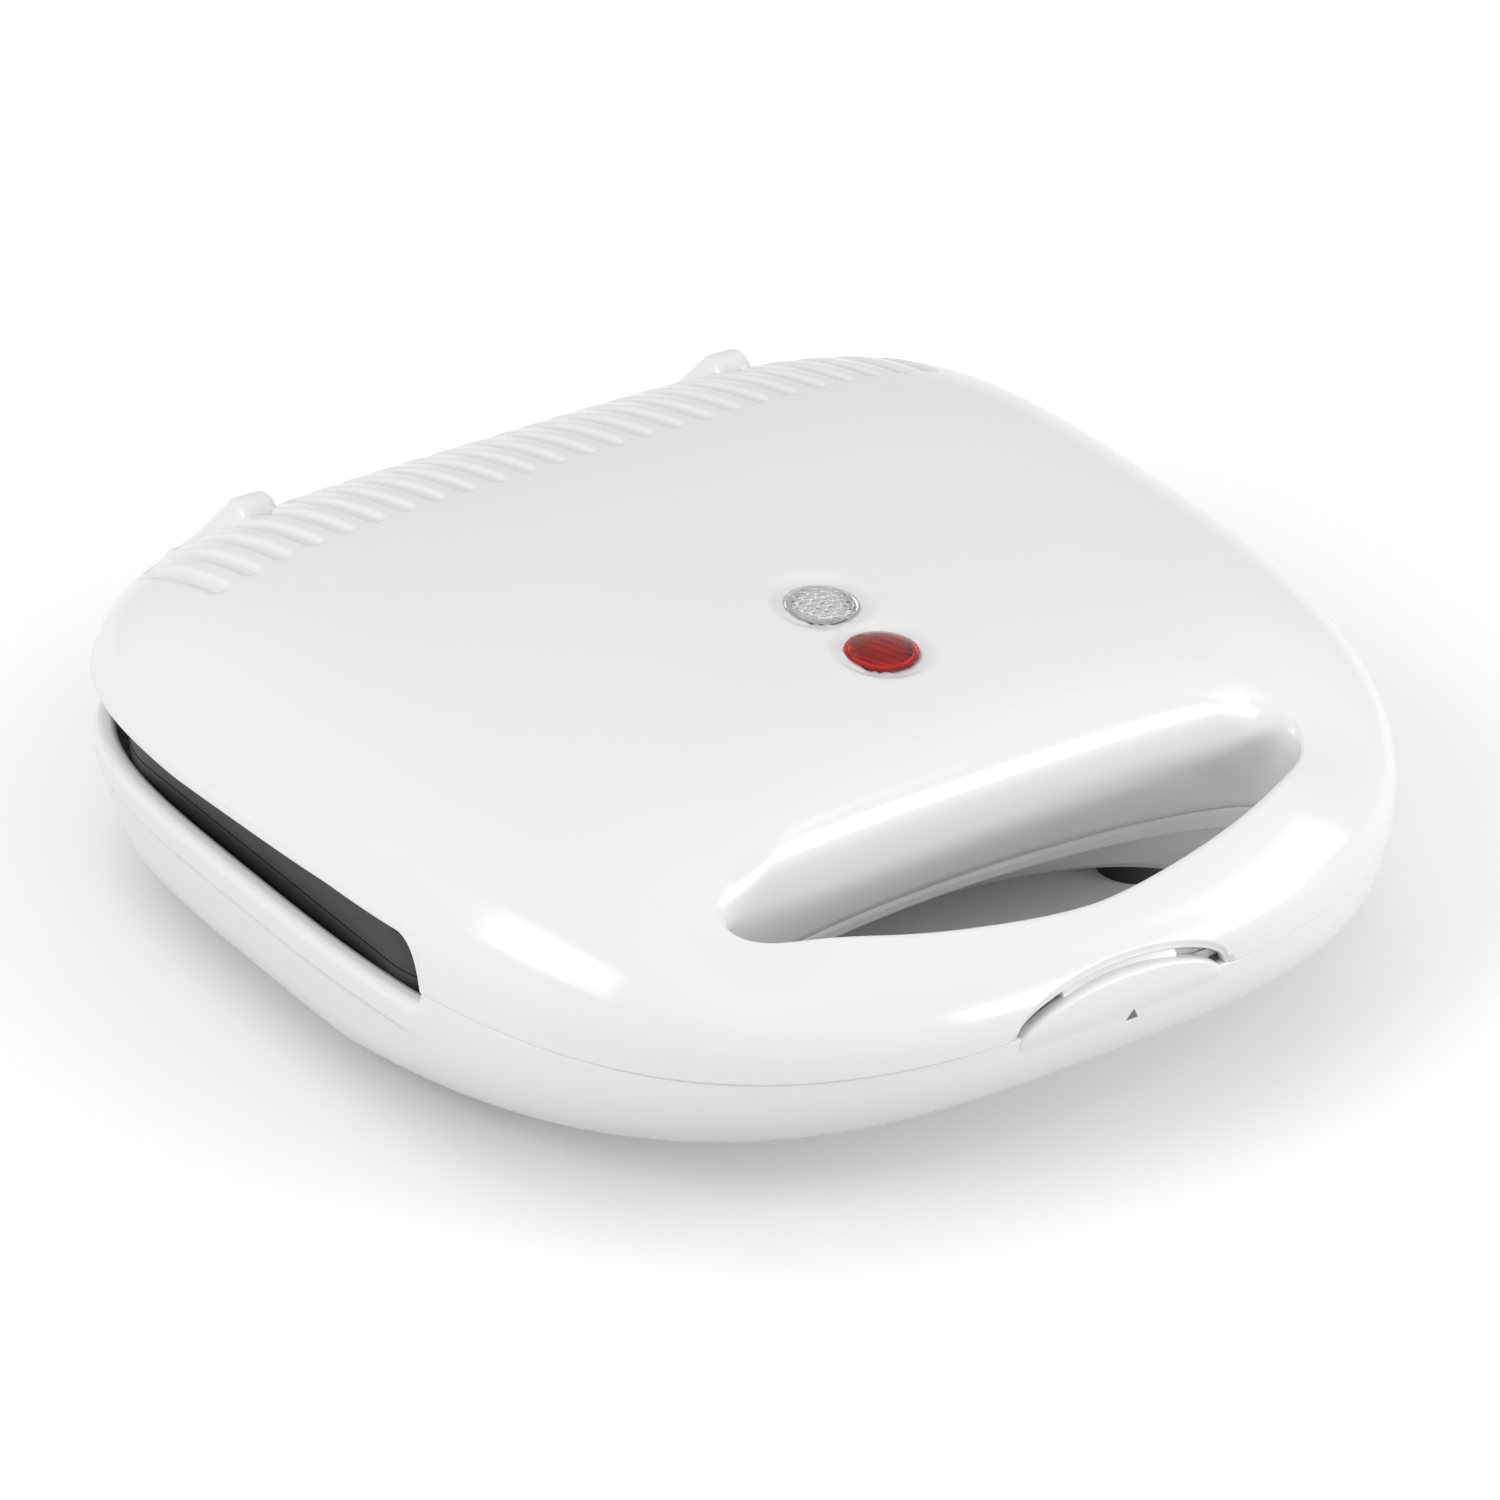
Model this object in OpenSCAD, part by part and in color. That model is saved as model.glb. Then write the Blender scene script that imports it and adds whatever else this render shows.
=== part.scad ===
// Two-slice sandwich toaster with a hinged lid, in millimetres.
// X runs to the right, Y to the back and Z up; the origin is under the middle of the whole part.

/* [Body] */
// Width of the housing at its widest line
body_w = 230; // [226:1:240]
// From the widest line forward to the front of the handle
front_len = 132; // [130:1:140]
// From the widest line back to the rear wall
back_len = 92; // [90:1:98]
// Height of the line where lid and base meet
parting_z = 37.5; // [37:0.5:40]
// Rise of the lid's crown above the parting line
lid_rise = 40; // [39:1:46]
// Wall thickness of the moulded housings
wall = 2.5; // [2:0.1:2.8]
// Gap left between the edges of lid and base
parting_gap = 0.5; // [0.4:0.1:0.8]
// How far the base's edge stands in from the lid's
base_step = 0.6; // [0.4:0.1:1]
// How far the base tucks in towards its bottom
base_tuck = 11.6; // [9:0.2:12]
// Rise of the base's underside at the handle
handle_rise = 12.7; // [11:0.1:13]

/* [Handle opening] */
// Half length of the opening
grip_half = 68; // [65:0.5:69]
// Room for the fingers in the middle, front to back
grip_depth = 32; // [30:0.5:33]
// Thickness of the handle bar in the middle
bar_t = 11.3; // [11:0.1:12]
// Radius of the soft roll along the opening's rear edge
roll_r = 16; // [14:0.5:16.5]
// Height of the foremost line of that roll
nose_z = 58; // [57:0.5:59]

/* [Side gap] */
// Front end of the gap along each side
gap_front_y = -44; // [-48:1:-40]
// How far in the gap reaches round the rear corners
gap_in_x = 88; // [82:1:92]
// Height of the lid's edge at the gap's front end
gap_lid_front_z = 48; // [46:0.5:50]
// Height of the lid's edge at the gap's rear
gap_lid_rear_z = 42.5; // [42:0.5:44]
// Height of the base's rim at the gap's front end
gap_rim_front_z = 35.2; // [34:0.2:36]
// Height of the base's rim at the gap's rear
gap_rim_rear_z = 29; // [28:0.5:31]

/* [Flutes] */
// Distance from one flute to the next
flute_pitch = 7.4; // [7:0.1:8.4]
// Width of one flute
flute_w = 4.2; // [3.4:0.2:4.8]
// Depth of a flute
flute_depth = 1.1; // [0.8:0.1:1.2]
// Front end of the row of flutes
flute_front_y = 58; // [54:1:62]
// Half width of the row
flute_half = 95; // [88:1:97]

/* [Plates] */
// Height of the plane where the two plates meet
plate_z = 36; // [35.8:0.1:36.2]
// Gap between the closed plates
plate_gap = 0.3; // [0.3:0.1:0.5]
// Room between a plate and the housing's widest outline
plate_side_room = 6; // [5.5:0.5:8]
// Room between a plate and the wall of the finger opening
plate_front_room = 5.9; // [5.6:0.1:6.5]
// Room behind a plate, up to the rear wall
plate_rear_room = 27.25; // [26.25:0.25:28.25]
// Corner radius of a plate
plate_corner = 24; // [22:1:26]
// Thickness of a plate's flange
flange_t = 3; // [2.5:0.1:3.4]
// Height of a plate's outer skirt
skirt_h = 7.5; // [6.5:0.1:8]
// Wall of that skirt
skirt_t = 2; // [1.6:0.1:2.4]
// Depth of a sandwich pocket
pocket_depth = 12; // [11:0.2:12.4]
// Metal under a pocket
pocket_floor = 2.8; // [2.4:0.1:3]
// Border of a plate outside the slices, at the sides
border_w = 6; // [5:0.5:8]
// Border of a plate outside the slices, at front and rear
border_d = 6; // [5.5:0.5:8]

/* [Heaters] */
// Radius of the tubular heating element
element_r = 3.3; // [3:0.1:3.4]
// Distance from the element's loop to a plate's side
element_inset = 37; // [33:1:43]
// Bend radius of the element
element_bend = 14; // [12:1:16]
// Thickness of the reflector sheet
sheet_t = 0.6; // [0.5:0.1:0.8]

/* [Hinge] */
// Distance of the hinge axis behind the rear wall
hinge_back = 7; // [7:0.1:8]
// Height of the hinge axis
hinge_z = 32; // [31:0.5:33]
// Distance of each hinge from the middle
hinge_x = 60; // [56:1:64]
// Width of the lid's hinge arm
arm_w = 12; // [10:0.5:13]
// Thickness of each ear on the base
ear_t = 5; // [4:0.5:6]
// Radius of the arm's and ears' round ends
knuckle_r = 6.5; // [5.5:0.1:6.5]
// Radius of a hinge pin
hinge_pin_r = 2; // [1.6:0.1:2.6]

/* [Latch] */
// Half width of the latch's oval face
latch_half_w = 25.5; // [23:0.5:27]
// Half height of the oval face
latch_half_h = 9.4; // [8.8:0.2:9.6]
// Height of the oval's middle
latch_mid_z = 34.4; // [34:0.2:34.6]
// Thickness of the latch's face
latch_t = 3; // [2.6:0.1:3.2]
// Radius of the latch's pivot pin
latch_pin_r = 1; // [0.8:0.1:1.2]
// Width of the latch's hook
hook_w = 16; // [12:1:20]

/* [Lamps] */
// Radius of a lamp's lens
lens_r = 7.5; // [7:0.1:8]
// Distance between the two lenses
lens_pitch = 19.5; // [19:0.5:22]
// Position of the clear lens, front to back
clear_lens_y = -19; // [-22:0.5:-17]
// Height of a lens above the floor of its recess
lens_dome = 2.4; // [2:0.1:2.8]

/* [Fittings] */
// Height of the rubber feet
foot_h = 7.3; // [7:0.1:8]
// Radius of a foot
foot_r = 8; // [7:0.5:9]
// Radius of a housing screw's shank
screw_r = 1.5; // [1.3:0.1:1.6]
// Radius of the hole through the cord bushing
cord_r = 3.6; // [3.2:0.1:3.8]
// Clearance of a part that sits in a hole
fit = 0.1; // [0.08:0.01:0.15]

/* [Hidden] */

$fn = 48;
eps = 0.01;

// Frame: the part's box is centred on X and Y and stands on Z = 0.
overall_d = front_len + back_len + hinge_back + knuckle_r;
front_y = -overall_d / 2;
widest_y = front_y + front_len;
back_y = widest_y + back_len;
hinge_y = back_y + hinge_back;

// The housing's outline is a superellipse, squarer at the back than at the front.
back_square = 4;
front_square = 3;
// The crown's section, and how much lower it runs at the front and back edges.
crown_in = 3.5;
crown_out = 3.2;
front_drop = 0.13;
back_drop = 0.256;
// How much lower the crown runs over the front bar, and beside the opening's two ends.
bar_drop = 0.36;
dip = 6;
dip_x = 70;
dip_y = front_y + 32.5;
dip_w = 13;
dip_d = 15;
around = 60;

function outline_pt(a, inset) =
    let (c = cos(a), s = sin(a), n = s >= 0 ? back_square : front_square,
         k = pow(pow(abs(c), n) + pow(abs(s), n), -1 / n),
         reach = (s >= 0 ? back_len : front_len) - inset)
    [(body_w / 2 - inset) * c * k, widest_y + reach * s * k];

function outline(inset) = [for (i = [0 : around - 1]) outline_pt(360 * i / around, inset)];

// Share of the crown's full height that is left at y.
function crown_at(y) = y >= widest_y
    ? 1 - back_drop * pow((y - widest_y) / back_len, 2)
    : 1 - front_drop * pow((widest_y - y) / front_len, 2)
        - bar_drop * pow((widest_y - y) / front_len, 8);
function dip_at(x, y) =
    dip * exp(-pow((abs(x) - dip_x) / dip_w, 2) - pow((y - dip_y) / dip_d, 2));

// Height of the lid's outer surface over a point near the middle line.
function lid_top(y) =
    let (q = y >= widest_y ? (y - widest_y) / back_len : (widest_y - y) / front_len)
    parting_z + lid_rise * crown_at(y) * pow(max(0, 1 - pow(q, crown_in)), 1 / crown_out);

// One ring of the crown: angle f runs from the parting line, 0, to the top, 90.
function crown_ring(f, inset) =
    let (q = pow(cos(f), 2 / crown_in), h = (lid_rise - inset) * pow(sin(f), 2 / crown_out))
    [for (p = outline(inset))
        let (x = p[0] * q, y = widest_y + (p[1] - widest_y) * q)
        [x, y, parting_z + h * crown_at(y) - dip_at(x, y)]];

// Height of the base's underside at y: flat, then rising towards the handle.
flat_end_y = -16.5;
function floor_z(y) =
    foot_h + handle_rise * max(0, (flat_end_y - y) / (flat_end_y - front_y));

// One ring of the base's side: t runs from the parting line, 0, to the bottom, 1.
function tub_inset(t) = base_tuck * (1 - sqrt(max(0, 1 - pow(t, 2.5))));
function tub_ring(t, inset, scale) =
    [for (p = outline(base_step + tub_inset(t) + inset))
        let (x = p[0] * scale, y = widest_y + (p[1] - widest_y) * scale,
             bottom = floor_z(y) + inset)
        [x, y, parting_z + (bottom - parting_z) * t]];

// A closed solid through rings of points, from its lowest ring to its highest.
module skin(rings) {
    n = len(rings[0]);
    last = (len(rings) - 1) * n;
    sides = [for (i = [0 : len(rings) - 2], j = [0 : n - 1])
        let (a = i * n + j, b = i * n + (j + 1) % n)
        each [[a, a + n, b + n], [a, b + n, b]]];
    bottom = [[for (j = [0 : n - 1]) j]];
    top = [[for (j = [0 : n - 1]) last + n - 1 - j]];
    polyhedron(points = [for (r = rings) each r], faces = concat(sides, bottom, top));
}

// A ring round circles of one radius that stand at the given points, in their order.
function soft_ring(pts, r, z, steps) =
    let (n = len(pts))
    [for (i = [0 : n - 1])
        let (p = pts[i], q = pts[(i + n - 1) % n], t = pts[(i + 1) % n],
             a0 = atan2(p[1] - q[1], p[0] - q[0]) - 90,
             turn = (atan2(t[1] - p[1], t[0] - p[0]) - 90 - a0 + 720) % 360)
        for (k = [0 : steps]) let (a = a0 + turn * k / steps)
            [p[0] + r * cos(a), p[1] + r * sin(a), z]];

function at_height(ring, z) = [for (p = ring) [p[0], p[1], z]];

crown_steps = 11;
crown_last = 88;
module crown(inset) {
    rings = [for (i = [0 : crown_steps])
        crown_ring(crown_last * pow(i / crown_steps, 1.35), inset)];
    skin(concat([at_height(rings[0], parting_z - 1)], rings));
}

module tub(inset) {
    floor_rings = [for (scale = [0.03, 0.3, 0.6, 0.85]) tub_ring(1, inset, scale)];
    side_rings = [for (t = [1, 0.98, 0.93, 0.84, 0.7, 0.45, 0]) tub_ring(t, inset, 1)];
    top_ring = at_height(side_rings[6], parting_z + 1);
    skin(concat(floor_rings, side_rings, [top_ring]));
}

// The opening for the fingers: a superellipse cut off by the rear wall, with rounded corners.
grip_front_y = front_y + bar_t;
grip_nose_y = grip_front_y + grip_depth;
grip_pole_y = grip_front_y + 22.3;
grip_points = 40;
grip_round = 8;
grip_front_point = 1.7;
grip_rear_point = 2.5;
grip_rear_room = 12;

// Distance along a ray from the pole to the rear wall: h behind it, less at the ends.
function ray_rear(c, s, h, bow) =
    let (k = bow * c * c / (grip_half * grip_half))
    2 * h / max(0.01, s + sqrt(s * s + 4 * k * h));

function grip_ring(z, rear_y, bow, half, grow) =
    let (a = half + grow, front_b = grip_pole_y - grip_front_y + grow,
         h = rear_y + grow - grip_pole_y)
    [for (i = [0 : grip_points - 1])
        let (t = 360 * i / grip_points, c = cos(t), s = sin(t),
             n = s < 0 ? grip_front_point : grip_rear_point,
             b = s < 0 ? front_b : h + grip_rear_room,
             re = pow(pow(abs(c) / a, n) + pow(abs(s) / b, n), -1 / n),
             rr = ray_rear(c, s, h, bow),
             r = pow(pow(re, -grip_round) + pow(rr, -grip_round), -1 / grip_round))
        [r * c, grip_pole_y + r * s, z]];

// Where the opening's rear wall stands: it leans back below its nose, and runs off
// under the base; above the nose it rolls over into the crown.
wall_foot_z = 32;
wall_lean = 13.05;
wall_foot_y = grip_nose_y + wall_lean;
wall_foot_bow = 8.5;
nose_bow = 2.5;
foot_spread = 6;
foot_half = grip_half + foot_spread;
under_slope = 1.34;
roll_y = grip_nose_y + roll_r;
function roll_at(z) = roll_y - sqrt(max(0, roll_r * roll_r - pow(z - nose_z, 2)));

module grip(grow) {
    low = [0, foot_h + 6.3, wall_foot_z - 5];
    under = [for (z = low)
        grip_ring(z, wall_foot_y + (wall_foot_z - z) * under_slope, wall_foot_bow, foot_half, grow)];
    lean = [for (k = [0, 0.25, 0.6, 1])
        grip_ring(wall_foot_z + (nose_z - wall_foot_z) * k,
            wall_foot_y + (grip_nose_y - wall_foot_y) * k,
            wall_foot_bow + (nose_bow - wall_foot_bow) * k,
            foot_half + (grip_half - foot_half) * k, grow)];
    roll = [for (k = [0.35, 0.62, 0.82, 0.95, 1])
        grip_ring(nose_z + roll_r * k, roll_at(nose_z + roll_r * k), nose_bow, grip_half, grow)];
    high = grip_ring(parting_z + lid_rise + 12, roll_y, nose_bow, grip_half, grow);
    skin(concat(under, lean, roll, [high]));
}

// Cuts both sides with one outline in the YZ plane, from in_x outwards.
module both_sides(in_x) {
    for (side = [-1, 1])
        translate([side > 0 ? in_x : -body_w, 0, 0])
            rotate([90, 0, 90]) linear_extrude(body_w - in_x) children();
}

lid_edge_z = parting_z + parting_gap / 2;
base_edge_z = parting_z - parting_gap / 2;
far_back = back_y + 20;

// The lid's edge along the gap: a rounded step up at the front, then a slow fall.
module lid_gap_outline() {
    polygon([[gap_front_y - 0.4, base_edge_z - 9], [gap_front_y, lid_edge_z + 1.5],
        [gap_front_y + 1.2, lid_edge_z + 5], [gap_front_y + 3.2, gap_lid_front_z - 2],
        [gap_front_y + 6.5, gap_lid_front_z - 0.5], [gap_front_y + 13, gap_lid_front_z],
        [25, gap_lid_rear_z + 1], [48, gap_lid_rear_z], [far_back, gap_lid_rear_z],
        [far_back, base_edge_z - 9]]);
}

// The base's rim along the gap: it dips from its front end to the rear.
module rim_gap_outline() {
    polygon([[gap_front_y + 0.6, lid_edge_z + 1], [gap_front_y + 1.4, gap_rim_front_z + 0.6],
        [gap_front_y + 4, gap_rim_front_z], [-17, gap_rim_front_z - 2],
        [12, gap_rim_rear_z + 1.3], [42, gap_rim_rear_z], [far_back, gap_rim_rear_z],
        [far_back, lid_edge_z + 1]]);
}

// The oval of the latch's face, and of the openings that it sits in.
latch_clear = 0.5;
latch_top_room = 1.8;
function half_oval(half_w, half_h, up) =
    [for (i = [0 : 24]) let (a = (up ? 0 : 180) + 180 * i / 24)
        [half_w * cos(a), latch_mid_z + half_h * sin(a)]];
module latch_oval(grow, top_room) {
    side = latch_half_w + grow + top_room / 4;
    polygon(concat(half_oval(side, latch_half_h + grow + top_room, true),
        half_oval(side, latch_half_h + grow, false)));
}
module along_y(y0, y1) {
    translate([0, y1, 0]) rotate([90, 0, 0]) linear_extrude(y1 - y0) children();
}

// The plates fill the housing between its sides, the finger opening and the rear room.
plate_half = body_w / 2 - plate_side_room;
plate_front_y = wall_foot_y + wall + plate_front_room;
plate_rear_y = back_y - plate_rear_room;
plate_y = (plate_front_y + plate_rear_y) / 2;
field_x0 = 3;
slice_w = plate_half - border_w - field_x0;
slice_d = plate_rear_y - plate_front_y - 2 * border_d;

// Fixing points, mirrored left and right.
plate_fix_in = 4.8;
plate_fix_x = plate_half - plate_corner + 3;
plate_fix_front_y = plate_front_y + plate_fix_in;
plate_fix_rear_y = plate_rear_y - plate_fix_in;
module at_plate_fixings() {
    for (sx = [-1, 1], y = [plate_fix_front_y, plate_fix_rear_y])
        translate([sx * plate_fix_x, y, 0]) children();
}
// The handle's screws stand midway between the outline and the finger opening.
cover_fix_x = grip_half - 13.3;
outline_front_y = widest_y - front_len
    * pow(1 - pow(cover_fix_x / (body_w / 2), front_square), 1 / front_square);
opening_front_y = grip_pole_y - (grip_pole_y - grip_front_y)
    * pow(1 - pow(cover_fix_x / foot_half, grip_front_point), 1 / grip_front_point);
cover_fix_y = (outline_front_y + opening_front_y) / 2;
module at_cover_fixings() {
    for (sx = [-1, 1]) translate([sx * cover_fix_x, cover_fix_y, 0]) children();
}
foot_x = body_w / 2 - 40.5;
front_foot_y = plate_front_y + 20;
rear_foot_y = plate_rear_y - 8.7;
module at_feet() {
    for (sx = [-1, 1], y = [front_foot_y, rear_foot_y]) translate([sx * foot_x, y, 0]) children();
}
reflector_fix_y = [plate_front_y + 44, plate_rear_y - 36];
module at_reflector_fixings() {
    for (y = reflector_fix_y) translate([0, y, 0]) children();
}

// Plate stack, from the meeting plane outwards.
lower_face_z = plate_z - plate_gap / 2;
upper_face_z = plate_z + plate_gap / 2;
plate_t = pocket_depth + pocket_floor;
lower_back_z = lower_face_z - plate_t;
upper_back_z = upper_face_z + plate_t;
lug_h = skirt_h + 1.5;
element_gap = 0.2;
sheet_gap = 0.8;
lower_element_z = lower_back_z - element_gap - element_r;
upper_element_z = upper_back_z + element_gap + element_r;
lower_sheet_z = lower_element_z - element_r - sheet_gap - sheet_t;
upper_sheet_z = upper_element_z + element_r + sheet_gap;
boss_r = 4;
pad_r = 4;
pad_x = plate_half - 49;

// Hinge outline in the YZ plane: two round ends joined by a straight web.
module web(p, rp, q, rq) {
    d = (q - p) / norm(q - p);
    m = [-d[1], d[0]];
    translate(p) circle(rp);
    translate(q) circle(rq);
    polygon([p + m * rp, q + m * rq, q - m * rq, p - m * rp]);
}
module slab_x(x0, x1) {
    translate([x0, 0, 0]) rotate([90, 0, 90]) linear_extrude(x1 - x0) children();
}
ear_gap = 0.4;
ear_foot_z = 16;
module ear_outline() {
    translate([hinge_y, hinge_z]) circle(knuckle_r);
    polygon([[back_y - 7.2, ear_foot_z], [back_y - 1, ear_foot_z],
        [hinge_y + knuckle_r, hinge_z - 7], [hinge_y + knuckle_r, hinge_z],
        [hinge_y - knuckle_r, hinge_z + 1], [back_y - 3, hinge_z + 1]]);
}
module at_hinges() {
    for (sx = [-1, 1]) translate([sx * hinge_x, 0, 0]) children();
}
ear_span = arm_w / 2 + ear_gap + ear_t;

bushing_z = 22;
bushing_r = cord_r + 0.9;
clamp_x = 9;
clamp_y = back_y - 19.25;
clamp_z = bushing_z + cord_r;
block_x = -42;
block_y = back_y - 24.25;
block_pitch = 9;
block_w = 30;
block_d = 14;
block_h = 10;
base_floor_z = foot_h + wall;

module base_skin() {
    difference() {
        tub(0);
        grip(0);
        difference() {
            tub(wall);
            grip(wall);
        }
        both_sides(gap_in_x) rim_gap_outline();
        translate([-body_w, -body_w, base_edge_z]) cube([2 * body_w, 2 * body_w, wall]);
        along_y(front_y - 5, front_y + 8) latch_oval(latch_clear, 0);
    }
    intersection() {
        union() {
            at_plate_fixings() cylinder(r = boss_r, h = lower_face_z - lug_h);
            at_cover_fixings() cylinder(r = boss_r - 0.5, h = cover_low_z);
            for (sx = [-1, 1]) {
                for (y = [sheet_front_y + 12, sheet_rear_y - 16]) translate([sx * pad_x, y, 0])
                    cylinder(r = pad_r, h = lower_sheet_z);
                translate([sx * clamp_x, clamp_y, 0]) cylinder(r = boss_r, h = clamp_z);
            }
        }
        difference() {
            tub(1);
            grip(1);
        }
    }
    at_feet() translate([0, 0, foot_h]) cylinder(r = foot_r + 1, h = wall + 2.5);
}

cover_t = 2;
cover_low_z = base_edge_z - 0.35 - cover_t;
cover_high_z = lid_edge_z + 0.35;
head_r = 2 * screw_r;
head_h = 2;
seat_z = 16;

module base_shell() {
    color("white") difference() {
        union() {
            // Brings the faceted skin to its exact width and depth.
            resize([body_w - 2 * base_step, front_len + back_len - 2 * base_step, 0]) base_skin();
            at_hinges() for (side = [-1, 1])
                slab_x(side > 0 ? arm_w / 2 + ear_gap : -ear_span,
                    side > 0 ? ear_span : -arm_w / 2 - ear_gap) ear_outline();
        }
        at_hinges() translate([-ear_span - 1, hinge_y, hinge_z])
            rotate([0, 90, 0]) cylinder(r = hinge_pin_r + fit / 5, h = 2 * ear_span + 2);
        at_plate_fixings() {
            cylinder(r = screw_r + fit, h = lower_face_z);
            cylinder(r = head_r + fit, h = seat_z);
        }
        at_cover_fixings() translate([0, 0, cover_low_z - 8]) cylinder(r = screw_r + fit, h = 20);
        at_feet() cylinder(r = foot_r / 2 + fit, h = base_floor_z + 6);
        for (sx = [-1, 1]) translate([sx * clamp_x, clamp_y, clamp_z - 8])
            cylinder(r = screw_r + fit, h = 20);
        translate([0, back_y - 12, bushing_z]) rotate([-90, 0, 0])
            cylinder(r = bushing_r + fit, h = 24);
    }
}

// The strip that closes the handle bar, between the housing's wall and the opening.
cover_room = 0.4;
cover_end_y = grip_nose_y - 2;
latch_room_y = front_y + 3.4;
module handle_strip(grip_z) {
    k = (grip_z - wall_foot_z) / (nose_z - wall_foot_z);
    ring = grip_ring(grip_z, wall_foot_y + (grip_nose_y - wall_foot_y) * k, wall_foot_bow,
        foot_half, wall + 2 * cover_room);
    linear_extrude(cover_t) difference() {
        polygon(outline(base_step + wall + cover_room + tub_inset(0.15)));
        polygon([for (p = ring) [p[0], p[1]]]);
        translate([-body_w, cover_end_y]) square([2 * body_w, body_w]);
        translate([-latch_half_w - 1, front_y - 1])
            square([2 * latch_half_w + 2, latch_room_y - front_y + 1]);
    }
}

module base_handle_cover() {
    color("white") difference() {
        translate([0, 0, cover_low_z]) handle_strip(parting_z);
        at_cover_fixings() translate([0, 0, cover_low_z - 1]) {
            cylinder(r = screw_r + fit, h = cover_t + 2);
            translate([0, 0, cover_t]) cylinder(r1 = screw_r + fit, r2 = head_r + fit, h = 1 + eps);
        }
    }
}

module rounded(half_w, y0, y1, r) {
    translate([-half_w, y0 + r]) square([2 * half_w, y1 - y0 - 2 * r]);
    translate([r - half_w, y0]) square([2 * (half_w - r), y1 - y0]);
    for (sx = [-1, 1], y = [y0 + r, y1 - r]) translate([sx * (half_w - r), y]) circle(r);
}

// One triangular pocket: wide at the plate's face, narrower at its floor.
pocket_top = 0.82;
pocket_bottom = 0.55;
function shrunk(corners, k) =
    let (mid = (corners[0] + corners[1] + corners[2]) / 3)
    [for (p = corners) mid + (p - mid) * k];
module pocket(corners) {
    skin([soft_ring(shrunk(corners, pocket_top), 3, -1, 4),
        soft_ring(shrunk(corners, pocket_top), 3, 0.6, 4),
        soft_ring(shrunk(corners, pocket_bottom + 0.03), 5, pocket_depth - 1.2, 4),
        soft_ring(shrunk(corners, pocket_bottom), 4.4, pocket_depth, 4)]);
}

// A plate seen from its cooking face: Z runs into the plate.
function field_ring(inset, z) =
    let (x = field_x0 + slice_w - 10 - inset, y = slice_d / 2 - 10 - inset)
    soft_ring([[-x, plate_y - y], [x, plate_y - y], [x, plate_y + y], [-x, plate_y + y]], 10, z, 5);
module plate_form() {
    f0 = plate_y - slice_d / 2;
    f1 = plate_y + slice_d / 2;
    x1 = field_x0 + slice_w;
    difference() {
        union() {
            linear_extrude(flange_t)
                rounded(plate_half, plate_front_y, plate_rear_y, plate_corner);
            linear_extrude(skirt_h) difference() {
                rounded(plate_half, plate_front_y, plate_rear_y, plate_corner);
                rounded(plate_half - skirt_t, plate_front_y + skirt_t,
                    plate_rear_y - skirt_t, plate_corner - skirt_t);
            }
            skin([field_ring(0, 1), field_ring(0, flange_t), field_ring(9, plate_t)]);
            at_plate_fixings() cylinder(r = boss_r, h = lug_h);
            at_reflector_fixings() cylinder(r = boss_r, h = plate_t + element_gap
                + 2 * element_r + sheet_gap);
        }
        for (side = [0, 1]) mirror([side, 0, 0]) {
            pocket([[field_x0, f0], [x1, f0], [field_x0, f1]]);
            pocket([[x1, f0], [x1, f1], [field_x0, f1]]);
        }
    }
}

module lower_plate() {
    color([0.16, 0.16, 0.17]) difference() {
        translate([0, 0, lower_face_z]) mirror([0, 0, 1]) plate_form();
        at_plate_fixings() translate([0, 0, lower_face_z - lug_h - 1])
            cylinder(r = screw_r + fit, h = lug_h - 1);
        at_reflector_fixings() translate([0, 0, lower_sheet_z - 1])
            cylinder(r = screw_r + fit, h = 9);
    }
}

module upper_plate() {
    color([0.16, 0.16, 0.17]) difference() {
        translate([0, 0, upper_face_z]) plate_form();
        at_plate_fixings() translate([0, 0, upper_face_z - 1]) {
            cylinder(r = screw_r + fit, h = lug_h + 2);
            cylinder(r = head_r + fit, h = head_h + 1);
        }
        at_reflector_fixings() translate([0, 0, upper_sheet_z - 7])
            cylinder(r = screw_r + fit, h = 9);
    }
}

// The tubular element: a loop under the pockets with both cold ends at the rear.
element_half_w = plate_half - element_inset;
element_front_y = plate_front_y + 29;
element_rear_y = plate_rear_y - 33;
element_end_y = plate_rear_y + 6;
element_end_x = 20;
module rod(p, q) {
    d = q - p;
    translate([p[0], p[1], 0]) rotate([0, 0, atan2(d[1], d[0])]) rotate([0, 90, 0])
        cylinder(r = element_r, h = norm(d));
}
module bend(p, from) {
    translate([p[0], p[1], 0]) rotate([0, 0, from]) rotate_extrude(angle = 90)
        translate([element_bend, 0]) circle(element_r);
}
module element_form() {
    b = element_bend;
    w = element_half_w;
    rod([-w + b, element_front_y], [w - b, element_front_y]);
    for (sx = [0, 1]) mirror([sx, 0, 0]) {
        bend([w - b, element_front_y + b], 270);
        rod([w, element_front_y + b], [w, element_rear_y - b]);
        bend([w - b, element_rear_y - b], 0);
        rod([w - b, element_rear_y], [element_end_x + b, element_rear_y]);
        bend([element_end_x + b, element_rear_y + b], 180);
        rod([element_end_x, element_rear_y + b], [element_end_x, element_end_y]);
    }
}

module lower_element() {
    color("dimgray") translate([0, 0, lower_element_z]) element_form();
}

module upper_element() {
    color("dimgray") translate([0, 0, upper_element_z]) element_form();
}

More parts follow.
